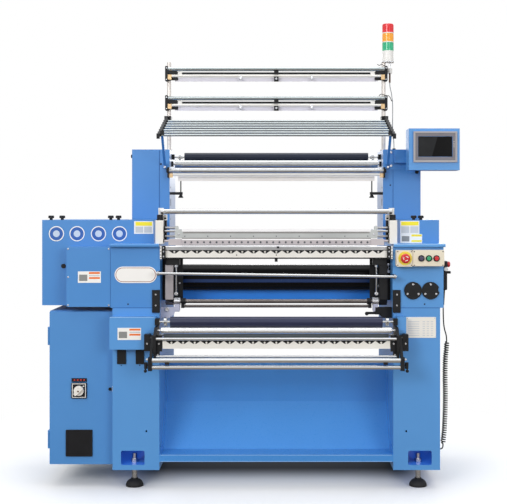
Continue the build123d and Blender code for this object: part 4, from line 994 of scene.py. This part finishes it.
@dataclass
class WeftGear:
    """Guide plate, weft bar and the heads that their rods run in.

    Attributes:
        holes: number of yarn holes in the guide plate.
        field: half the length of the guide plate.
        screw_pitch: distance between the screws of the weft bar.
        bar_front: front plane of the weft bar.
        rods: y and z of the rods.
    """
    bar_front: float = 16.0
    holes: int = 30
    field: float = 418.0
    screw_pitch: float = 101.0
    rods: tuple[Range, ...] = ((40, 1150), (28, 1135), (40, 1112))

    def guide(self) -> None:
        """Backing strip and eyelets of the yarn guide."""
        guide = Piece("guide_backing", "guide_plate").use(BLACK_OXIDE)
        guide.block((-self.field + 2, self.field - 2), (23, 24.4), (1078, 1093.5), 0.3)
        pitch = 2 * self.field / (self.holes + 0.08)
        guide.use(DARK_GREY_ABS)
        for i in range(self.holes):
            x = (i - (self.holes - 1) / 2) * pitch
            guide.turned((x, 17, 1086), Facing.FRONT, ((-4.5, 3.4), (0.3, 4.6), (1.1, 4.0), (1.0, 2.6),
                                                       (-4.4, 2.4)), 16)
        guide.done("black_steel")

    def bar(self) -> None:
        """Lip of the weft bar with its painted shade lines, and the screws of the bar and of its lugs."""
        lip = Piece("weft_bar_lip_and_shade_lines", "weft_bar").use(LIP_WHITE)
        lip.block((-417, 417), (13.2, 14.2), (1133.5, 1144), 0.2)
        lip.use(GROOVE_SHADE).block((-417, 417), (self.bar_front - 0.5, self.bar_front + 0.2),
                                   (1125.5, 1133.5), 0.0)
        # Painted shade line along the bar's lower edge, above the guide plate.
        lip.block((-417, 417), (13.3, 14.2), (1101.2, 1106), 0.0)
        lip.done("aluminium")
        bar = Piece("weft_bar_screws", "weft_bar").use(DARK_GREY_ABS)
        for i in range(9):
            bar.turned(((i - 4) * self.screw_pitch, 16, 1113), Facing.FRONT,
                       ((-0.5, 2.6), (0.3, 2.6), (0.4, 2.0)), 12)
        bar.use(ZINC_PLATE)
        for side in (-1, 1):
            bar.screw((side * 424, 26, 1141), Facing.UP, 11)
            bar.dome_screw((side * 431, 14, 1121), Facing.FRONT, 10)
        bar.done("aluminium")

    def heads(self) -> None:
        """Bushes of the rods, plates and screws of the heads."""
        dark = Piece("rod_bushes").use(BLACK_OXIDE)
        for side, facing in ((-1, Facing.RIGHT), (1, Facing.LEFT)):
            for y, z in self.rods:
                dark.turned((side * 499, y, z), facing, ((-0.5, 8.5), (4, 8.5), (5, 7.2), (5.6, 5.3)), 20)
            dark.turned((side * 499, 20, 1092), facing, ((-0.5, 8), (2.2, 8), (3, 6.6)), 20)
            dark.block(beside(side, 488, 499.5), (50, 66), (1086, 1183))
        dark.done("black_steel")
        pale = Piece("rail_brackets")
        for side in (-1, 1):
            pale.use(CREAM_ENAMEL).block(beside(side, 486, 502.5), (49, 63), (1183, 1208), 2)
            pale.use(BLACK_OXIDE)
            for z in ((1187, 1196), (1200, 1204)):
                pale.block(beside(side, 489, 499), (48.4, 49.4), z, 0.3)
            pale.use(ZINC_PLATE).turned((side * 512, 48, 1222), (side, 0, 0),
                                        ((-12, 12.8), (1, 12.8), (2.4, 11.4)), 24)
        pale.done("cream_paint")

    def build(self) -> None:
        """Dress the weft gear."""
        self.guide()
        self.bar()
        self.heads()


class Drive:
    """What shows of the needle bar's drive beside the guard."""

    def build(self) -> None:
        """Bolts on the shields, the clamp knob on the left, a painted blue reflection on the guard and the
        finger lever on the right.
        """
        bolts = Piece("shield_bolts").use(ZINC_PLATE)
        for x, z, dia in ((504, 984, 11), (505, 953, 14), (460, 886, 10), (480, 843, 12), (434, 995, 8),
                          (-434, 900, 8)):
            bolts.screw((x, 96, z), dia=dia)
        bolts.wire(((503, 94, 978), (506, 90, 970), (500, 88, 962), (506, 90, 955)), 4, 8)
        bolts.turned((-487, 50, 786), Facing.FRONT, ((-1, 10), (3, 10), (4, 8.6), (4, 5), (1, 4.6)), 24)
        bolts.done("steel")
        # Blue strip on the guard: painted reflection in the black lacquer.
        reflection_strip = Piece("guard_painted_reflection").use(GUARD_REFLECTION)
        reflection_strip.block((-436, 436), (199.0, 200.4), (896, 911), 0.5)
        reflection_strip.done("black_steel")
        finger = Piece("band_finger").use(BLACK_OXIDE)
        finger.block((398, 460), (43, 50.5), (765, 776)).block((440, 462), (44, 50.5), (764, 796))
        finger.turned((402, 43, 768), Facing.FRONT, ((-9, 8), (2, 8), (3.4, 6.4)), 20)
        finger.done("black_steel")


class TakeDown:
    """Set screws of the roller collars and the rests of the front frame."""

    def build(self) -> None:
        """Dress the take-down."""
        collar = Piece("roller_collar_screws", "pull_roller").use(BLACK_OXIDE)
        for side in (-1, 1):
            for facing, dy, dz in ((Facing.FRONT, -19, 0), (Facing.UP, 0, 19)):
                collar.turned((side * 481.5, -60 + dy, 742.9 + dz), facing,
                              ((-1, 2.6), (0.4, 2.6), (0.5, 2)), 12)
        collar.done("steel")
        rests = Piece("frame_rests", "front_frame").use(BLACK_ABS)
        for side in (-1, 1):
            rests.block(beside(side, 456, 474), (-159, -141), (570.5, 579), 1.5)
        rests.done("black_plastic")


@dataclass
class Creel:
    """Clamps, clips and wires of the yarn creel.

    Attributes:
        stations: heights of the two yarn stations.
        near, far: ends of the rack's side bars as (y, z).
        rods: number of rods in the rack.
    """
    stations: tuple[float, ...] = (1900.0, 1756.0)
    near: Range = (148.0, 1566.0)
    far: Range = (548.0, 1690.0)
    rods: int = 7

    def clamps(self) -> None:
        """Clamp blocks in the middle of each station and the screws of its end brackets."""
        clamps = Piece("creel_clamps")
        for z in self.stations:
            clamps.use(BLACK_OXIDE).block((-11, 11), (520, 541), (z - 3, z + 14))
            clamps.block((-11, 11), (518, 549), (z - 37, z - 15))
            clamps.use(ZINC_PLATE).screw((0, 518, z - 26), dia=11)
            for side in (-1, 1):
                clamps.screw((side * 520, 536, z + 4), dia=8)
                clamps.dome_screw((side * 540, 525, z + 28), dia=8)
                clamps.dome_screw((side * 540, 525, z - 28), dia=8)
                clamps.use(BLACK_OXIDE)
                clamps.block(beside(side, 489, 537), (530, 546), (z - 3, z + 15), 1.2)
                clamps.use(WHITE_ABS)
                clamps.block(beside(side, 464, 485), (533, 544), (z - 5, z + 12), 1.2)
                clamps.use(ZINC_PLATE)
        clamps.done("black_steel")
        clips = Piece("yarn_clips").use(ZINC_PLATE)
        for z in self.stations:
            for x in (-176, 174):
                clips.block((x - 3.5, x + 3.5), (520, 527), (z - 33, z - 9), 1.5)
                clips.turned((x, 521, z - 28), Facing.FRONT, ((-1, 6), (3, 6), (4.4, 4)), 18)
        clips.done("steel")

    def wires(self) -> None:
        """Bent yarn wires at the right ends of the stations."""
        wires = Piece("yarn_wires").use(BLACK_OXIDE, smooth=True)
        wires.wire(((540, 534, 1930), (532, 532, 1941), (518, 531, 1946), (506, 531, 1941), (497, 531, 1946)),
                   3.6)
        wires.wire(((540, 534, 1786), (530, 532, 1797), (516, 531, 1800), (505, 531, 1792)), 3.6)
        wires.wire(((540, 534, 1788), (552, 532, 1793), (562, 531, 1781), (566, 531, 1768), (573, 531, 1764)),
                   3.6)
        wires.done("black_steel")

    def rack(self) -> None:
        """Nuts on the ends of the rack's rods."""
        nuts = Piece("rack_nuts").use(BLACK_OXIDE)
        for i in range(self.rods):
            t = 0.03 + 0.12 * i
            y, z = (self.near[k] + t * (self.far[k] - self.near[k]) for k in (0, 1))
            for side, facing in ((-1, Facing.LEFT), (1, Facing.RIGHT)):
                nuts.turned((side * 542, y, z), facing, ((-1, 6.5), (3, 6.5), (4, 5.4)), 6)
                nuts.turned((side * 529.5, y, z), facing, ((-6, 6.4), (1, 6.4)), 12)
        nuts.done("black_steel")
        collars = Piece("feed_collars", "feed_roller").use(ZINC_PLATE)
        for side in (-1, 1):
            collars.turned((side * 471, 530, 1490.5), (side, 0, 0),
                           ((-11, 10), (-4.5, 10), (-4, 17.5), (4, 17.5), (4.5, 10), (11, 10)), 28)
        collars.done("steel")
        clips = Piece("strut_clips").use(BLACK_OXIDE)
        for side in (-1, 1):
            clips.block(beside(side, 511, 529), (152, 169.5), (1571, 1590), 2)
        clips.done("black_steel")

    def build(self) -> None:
        """Dress the creel."""
        self.clamps()
        self.wires()
        self.rack()


@dataclass
class Controls:
    """Screws and marks of the switch boxes.

    Attributes:
        front: front plane of the boxes.
    """
    front: float = -52.0

    def build(self) -> None:
        """Dress the boxes and the stop button."""
        screws = Piece("box_screws").use(DARK_GREY_ABS)
        for x in (528.5, 588.0, 601.0, 725.0):
            for z in (988.0, 1047.5):
                screws.dome_screw((x, self.front, z), dia=5.5)
        screws.done("steel")
        # A black strip fills the gap between the two boxes: painted shade.
        gap = Piece("box_gap_painted_shade").use(BLACK_ABS).block((593.3, 595.2), (-48, -1), (984, 1052), 0.2)
        gap.done("black_plastic")
        arrows = Piece("stop_button_marks", "stop_button").use(WHITE_ABS)
        for turn in (20, 140, 260):
            ring = [math.radians(turn + 10 * i) for i in range(8)]
            outline = [(560.5 + 11.4 * math.cos(a), 1018 + 11.4 * math.sin(a)) for a in ring]
            outline += [(560.5 + 8.2 * math.cos(a), 1018 + 8.2 * math.sin(a)) for a in reversed(ring)]
            arrows.plate(outline, (-76.4, -75.8))
        arrows.done("white_plastic")
        knob = Piece("pendant_knob_cap").use(ZINC_PLATE)
        knob.turned((779, 75, 950), Facing.RIGHT, ((-2, 4.4), (1.4, 4.4), (2, 3.4)), 16)
        knob.done("steel")


@dataclass
class TouchPanel:
    """Bezel and screen of the touch panel.

    Attributes:
        screen_x, screen_z: ranges of the screen.
        face: front plane of the bezel.
    """
    screen_x: Range = (655.5, 815.0)
    screen_z: Range = (1474.5, 1570.0)
    face: float = 228.0

    def build(self) -> None:
        """Inner frame, screen and its pale reflection, marks and the screws of the back."""
        rim = Piece("panel_rim", "touch_panel").use(BEZEL_GREY)
        rim_x, rim_z = (634.0, 836.5), (1449.5, 1593.0)
        outer_x, outer_z = (642.0, 829.0), (1458.0, 1586.0)
        y = (self.face - 2.6, self.face + 0.3)
        rim.block((rim_x[0], outer_x[0] + 1), y, rim_z).block((outer_x[1] - 1, rim_x[1]), y, rim_z)
        rim.block((outer_x[0], outer_x[1]), y, (rim_z[0], outer_z[0] + 1))
        rim.block((outer_x[0], outer_x[1]), y, (outer_z[1] - 1, rim_z[1]))
        rim.done("grey_plastic")
        frame_piece = Piece("panel_frame", "touch_panel").use(BEZEL_INNER)
        y = (self.face - 0.9, self.face + 0.4)
        frame_piece.block((outer_x[0], self.screen_x[0]), y, outer_z)
        frame_piece.block((self.screen_x[1], outer_x[1]), y, outer_z)
        frame_piece.block(self.screen_x, y, (outer_z[0], self.screen_z[0]))
        frame_piece.block(self.screen_x, y, (self.screen_z[1], outer_z[1]))
        frame_piece.use(WHITE_ABS)
        for z in (1520, 1528, 1536, 1544):
            frame_piece.block((820, 823), (self.face - 1.2, self.face - 0.8), (z, z + 3), 0.2)
        frame_piece.done("grey_plastic")
        screen = Piece("panel_screen", "touch_panel").use(SCREEN_GLASS)
        screen.block((656.5, 814.0), (230.6, 232.2), (1475.5, 1569.0), 0.5)
        # Painted reflection over the upper left of the screen.
        screen.use(SCREEN_SHEEN)
        screen.plate(((657, 1476), (720, 1476), (746, 1568.5), (657, 1568.5)), (230.5, 230.7))
        screen.done("grey_plastic")
        back = Piece("panel_back", "touch_panel").use(BLUE_COAT)
        back.block((630, 834), (342.8, 345), (1430, 1446)).use(ZINC_PLATE)
        for x in (622, 842):
            for z in (1424, 1597):
                back.dome_screw((x, 343, z), Facing.BACK, 7)
        back.use(BLACK_ABS).turned((660, 300, 1414), Facing.DOWN, ((-1, 9), (8, 9), (14, 6)), 20)
        back.done("blue_paint")


@dataclass
class StackLight:
    """Ribs on the lenses of the stack light.

    Attributes:
        axis: x and y of its middle.
        radius: of the lenses.
        ribs: number of ribs round a lens.
    """
    axis: Range = (553.0, 565.0)
    radius: float = 27.0
    ribs: int = 28

    def build(self) -> None:
        """Dress the three lenses."""
        ribs = Piece("lens_ribs")
        for z, lens in (((2019, 2056), GREEN_LENS), ((2063, 2101), AMBER_LENS), ((2108, 2145), RED_LENS)):
            ribs.use(lens)
            for i in range(self.ribs):
                angle = 2 * math.pi * i / self.ribs
                x = self.axis[0] + self.radius * math.cos(angle)
                y = self.axis[1] + self.radius * math.sin(angle)
                ribs.wire(((x, y, z[0]), (x, y, z[1])), 1.8, 6)
        ribs.use(WHITE_ABS)
        for z in (2057.6, 2102.6):
            ribs.turned((*self.axis, z), Facing.UP, ((0, self.radius), (0.4, 28.1), (4.0, 28.1),
                                                     (4.4, self.radius)), 40)
        ribs.done("lens_red")
        foot = Piece("lamp_foot").use(WHITE_ABS)
        foot.turned((*self.axis, 1963), Facing.UP, ((0, 29), (3, 29), (5, 27.4)), 40)
        foot.use(BLACK_ABS).turned((*self.axis, 1967.6), Facing.UP, ((0, 27.6), (1.2, 27.6)), 40)
        foot.done("white_plastic")


@dataclass
class Cabinet:
    """Fittings of the cabinet's door and what stands inside it.

    Attributes:
        switch: x and z of the main switch.
        fan: x and z of the fan.
        back: plane of the mounting plate.
        contactors: left edges of the three contactors.
    """
    switch: Range = (-875.0, 428.0)
    fan: Range = (-875.0, 194.5)
    back: float = 553.0
    contactors: tuple[float, ...] = (-970.0, -915.0, -860.0)

    def door(self) -> None:
        """Switch face, red marks, filter mesh and the padlock lug."""
        x, z = self.switch
        face = Piece("switch_face", "cabinet_door").use(BLACK_ABS)
        face.block((x - 27.5, x + 27.5), (31.35, 32.3), (z - 28.5, z + 28.5), 0.2)
        face.use(WHITE_ABS).block((x - 30.5, x + 30.5), (31.65, 32.3), (z - 31.5, z + 31.5), 0.2)
        face.use(WHITE_ABS).block((x + 17, x + 23), (31.3, 31.6), (z + 17, z + 22), 0.0)
        face.use(RED_INK)
        for i in range(4):
            start = x - 24 + 14.2 * i
            face.block((start, start + 6.5), (37.5, 38.1), (z + 43, z + 49.5), 0.0)
        face.done("black_plastic")
        centre = Piece("switch_screw", "switch_handle").use(BROWN_PLASTIC)
        centre.turned((x, 10, z), Facing.FRONT, ((-1, 4), (0.3, 4), (0.6, 3)), 16)
        centre.done("cream_paint")
        mesh = Piece("fan_filter", "cabinet_door").use(BLACK_ABS)
        half, step = 50.0, 5.6
        for i in range(-17, 18):
            for slope in (-1, 1):
                offset = i * step
                low, high = max(-half, -half - offset), min(half, half - offset)
                ends = [(self.fan[0] + slope * px, 35.6, self.fan[1] + px + offset) for px in (low, high)]
                mesh.wire(ends, 0.7, 4)
        mesh.done("black_plastic")
        lug = Piece("padlock_lug", "cabinet_door").use(ZINC_PLATE)
        lug.block((-728, -725), (30, 41), (424, 447), 0.8)
        lug.done("steel")

    def inside(self) -> None:
        """Faces of the drive, controller, contactors, transformer and terminals."""
        dark = Piece("module_faces").use(DARK_GREY_ABS)
        dark.block((-966, -892), (420.5, 423.2), (640, 715), 2)
        dark.block((-832, -806), (470.5, 473.2), (606, 724))
        for x in self.contactors:
            dark.block((x + 5, x + 40), (461.5, 465.2), (452, 493), 1.5)
        for i in range(9):
            dark.block((-974, -856), (421.8, 423.2), (530 + 10 * i, 534 + 10 * i), 0.3)
        dark.use(SCREEN_GLASS).block((-958, -900), (419.8, 420.8), (688, 708), 0.3)
        dark.use(GREY_ABS)
        for i in range(5):
            dark.turned((-955 + 13 * i, 420.5, 660), Facing.FRONT, ((-0.5, 4.6), (1.5, 4.6), (2.2, 3.6)), 14)
        dark.done("grey_plastic")
        rail = Piece("terminals").use(GALVANISED)
        rail.block((-984, -746), (542, 545), (302, 338), 0.5)
        for i in range(34):
            start = -979 + 6.7 * i
            rail.use((GREY_ABS, GREY_ABS, BLUE_VINYL, GREEN_TERMINAL)[i % 4])
            rail.block((start, start + 5.8), (500, 509), (298, 342), 0.8)
            rail.use(ZINC_PLATE)
            for z in (305, 335):
                rail.turned((start + 2.9, 500, z), Facing.FRONT, ((-0.5, 2), (0.5, 2), (0.8, 1.4)), 8)
        rail.done("grey_plastic")
        ducts = Piece("wire_ducts").use(GREY_ABS)
        for z in (372, 562):
            x = (-980, -750) if z < 500 else (-842, -750)
            ducts.block(x, (505, self.back), (z - 14, z + 14), 1.5)
            for i in range(int((x[1] - x[0]) / 10)):
                start = x[0] + 3 + 10 * i
                ducts.block((start, start + 5), (503.6, 505.4), (z - 11, z + 11), 0.4)
        ducts.done("grey_plastic")
        core = Piece("transformer").use(GROUND_STEEL)
        for i in range(8):
            core.block((-958, -842), (452, 458.2), (154 + 12 * i, 160 + 12 * i), 0.6)
        core.use(BRASS).turned((-900, 449, 200), Facing.FRONT, ((-9, 26), (1, 26), (3, 22)), 32)
        core.done("steel")
        screws = Piece("module_screws").use(ZINC_PLATE)
        for x in self.contactors:
            for i in range(3):
                for z in (440, 505):
                    screws.dome_screw((x + 9 + 13.5 * i, 465, z), dia=8)
        for x in (-986, -742):
            for z in (136, 440, 744):
                screws.dome_screw((x, self.back, z), dia=9)
        screws.done("steel")

    def build(self) -> None:
        """Dress the cabinet."""
        self.door()
        self.inside()


# Studio

@dataclass
class Studio:
    """Floor, light and camera.

    Attributes:
        lens: focal length of the camera.
        distance: from the camera to the housing fronts, in mm.
        height: of the camera over the floor, in mm.
        shift: of the camera's frame, in shares of its width.
        floor_size: side of the floor, in metres.
        hall: strength of the hall's light at the horizon and overhead.
        mirror: brightness of the horizon in a mirror.
        fade: distances from the machine's middle over which the floor runs out into white, in mm.
        pool_side, pool_front, pool_back: where the shadow painted on the floor under the chute begins and
            ends, in mm.
    """
    lens: float = 72.6
    distance: float = 4500.0
    height: float = 1220.0
    shift: Range = (-0.045, -0.079)
    floor_size: float = 40.0
    hall: Range = (0.45, 0.95)
    mirror: float = 0.8
    fade: Range = (1100.0, 2000.0)
    pool_side: Range = (560.0, 760.0)
    pool_front: Range = (70.0, 390.0)
    pool_back: Range = (620.0, 820.0)

    def camera(self) -> None:
        """Camera in the middle of the knitting field, level, framed as the photograph."""
        data = bpy.data.cameras.new("camera")
        data.lens = self.lens
        data.sensor_width = 36.0
        data.shift_x, data.shift_y = self.shift
        data.clip_end = 100.0
        camera = add_object("camera", data)
        camera.location = at(0.0, -self.distance, self.height)
        camera.rotation_euler = (math.radians(90), 0.0, 0.0)
        bpy.context.scene.camera = camera

    def world(self) -> None:
        """White behind the machine; a soft hall for everything else, brighter above than below."""
        world = bpy.data.worlds.new("hall")
        world.use_nodes = True
        tree = world.node_tree
        tree.nodes.clear()
        rays = add_node(tree, "ShaderNodeLightPath").outputs
        way = add_node(tree, "ShaderNodeTexCoord").outputs["Generated"]
        height = add_node(tree, "ShaderNodeSeparateXYZ", {0: way}).outputs[2]
        hall = ramp(tree, height, (0.0, 0.8), self.hall)
        gloss = ramp(tree, height, (0.05, 0.45), (self.mirror, 1.0))
        seen = maths(tree, "MAXIMUM", rays["Is Camera Ray"], rays["Is Transmission Ray"])
        soft = add_node(tree, "ShaderNodeBackground", {"Color": linear("#F4F5F7"), "Strength": hall})
        shine = add_node(tree, "ShaderNodeBackground", {"Color": WHITE, "Strength": gloss})
        white = add_node(tree, "ShaderNodeBackground", {"Color": WHITE, "Strength": 1.0})
        part = add_node(tree, "ShaderNodeMixShader", {0: rays["Is Glossy Ray"], 1: soft, 2: shine})
        mix = add_node(tree, "ShaderNodeMixShader", {0: seen, 1: part, 2: white})
        add_node(tree, "ShaderNodeOutputWorld", {"Surface": mix})
        bpy.context.scene.world = world

    def pool(self, tree: bpy.types.NodeTree, place: bpy.types.NodeSocket) -> bpy.types.Node:
        """Share of the dark floor under the chute, drawn in to match the photograph's shadow.

        Args:
            tree: the floor's node tree.
            place: position on the floor, in metres.

        Returns:
            The node whose first output is 1 in the pool and 0 away from it.
        """
        axes = add_node(tree, "ShaderNodeSeparateXYZ", {0: place}).outputs
        middle = at(0.0, 0.0, 0.0)
        sideways = maths(tree, "ABSOLUTE", maths(tree, "SUBTRACT", axes[0], middle.x))
        side, front, back = (ramp(tree, value, (shift + low * MM, shift + high * MM),
                                  interpolation_type="SMOOTHSTEP")
                             for value, shift, (low, high) in ((sideways, 0.0, self.pool_side),
                                                               (axes[1], middle.y, self.pool_front),
                                                               (axes[1], middle.y, self.pool_back)))
        width = maths(tree, "MULTIPLY", maths(tree, "SUBTRACT", 1.0, side), front)
        return maths(tree, "MULTIPLY", width, maths(tree, "SUBTRACT", 1.0, back))

    def floor(self) -> None:
        """Floor that keeps the machine's shadow, with a darker shadow painted under the chute, and runs out
        into white; polished parts show it warm grey.
        """
        mesh = bmesh.new()
        bmesh.ops.create_grid(mesh, x_segments=1, y_segments=1, size=self.floor_size / 2)
        data = bpy.data.meshes.new("floor")
        mesh.to_mesh(data)
        mesh.free()
        floor = add_object("floor", data)
        floor.location = (0.0, 0.0, -0.0005)
        material = bpy.data.materials.new("floor_pale_matte")
        material.use_nodes = True
        tree = material.node_tree
        tree.nodes.clear()
        rays = add_node(tree, "ShaderNodeLightPath").outputs
        place = add_node(tree, "ShaderNodeTexCoord").outputs["Object"]
        away = add_node(tree, "ShaderNodeVectorMath", {0: place}, operation="LENGTH").outputs["Value"]
        fade = ramp(tree, away, (self.fade[0] * MM, self.fade[1] * MM), interpolation_type="SMOOTHSTEP")
        open_floor = maths(tree, "MULTIPLY", rays["Is Camera Ray"], fade)
        pool = self.pool(tree, place)
        # Painted shadow: the floor seen by the camera goes dark grey under the chute.
        seen = blend(tree, pool, WHITE, linear("#4A4A4A"))
        colour = blend(tree, rays["Is Camera Ray"], linear("#9A9084"), seen)
        matte = add_node(tree, "ShaderNodeBsdfDiffuse", {"Color": colour})
        white = add_node(tree, "ShaderNodeEmission", {"Color": WHITE, "Strength": 1.0})
        mix = add_node(tree, "ShaderNodeMixShader", {0: open_floor, 1: matte, 2: white})
        add_node(tree, "ShaderNodeOutputMaterial", {"Surface": mix})
        data.materials.append(material)

    def lamp(self, name: str, place: Point, target: Point, size: Range, power: float) -> None:
        """Hang one soft box.

        Args:
            name: name of the lamp.
            place: its middle in mm.
            target: point in mm that it faces.
            size: width and height in mm.
            power: in watts.
        """
        data = bpy.data.lights.new(name, "AREA")
        data.shape = "RECTANGLE"
        data.size, data.size_y = size[0] * MM, size[1] * MM
        data.energy = power
        lamp = add_object(name, data)
        lamp.location = at(*place)
        lamp.rotation_euler = (at(*target) - at(*place)).to_track_quat("-Z", "Y").to_euler()

    def build(self) -> None:
        """Set up the camera, the world, the floor and the lamps."""
        self.camera()
        self.world()
        self.floor()
        self.lamp("key", (-3000.0, -5400.0, 3000.0), (0.0, 0.0, 900.0), (2600.0, 2000.0), 142.0)
        self.lamp("fill", (3200.0, -5400.0, 2000.0), (0.0, 0.0, 800.0), (2400.0, 2000.0), 92.0)
        self.lamp("back", (900.0, 6200.0, 2600.0), (0.0, 300.0, 900.0), (3000.0, 2200.0), 70.0)
        self.lamp("top", (0.0, 300.0, 4200.0), (0.0, 300.0, 0.0), (3200.0, 2600.0), 60.0)
        bpy.context.scene.view_settings.view_transform = "Standard"
        LOG.info("studio set up")


def main() -> None:
    """Build the machine's dressing in order."""
    logging.basicConfig(level=logging.INFO, format="%(message)s")
    for part in (Studio(), Cords(), Coatings(), Housings(), NeedleBar(), WeftGear(), Drive(), TakeDown(),
                 Creel(), Controls(), TouchPanel(), StackLight(), Cabinet()):
        part.build()


if __name__ == "__main__":
    main()
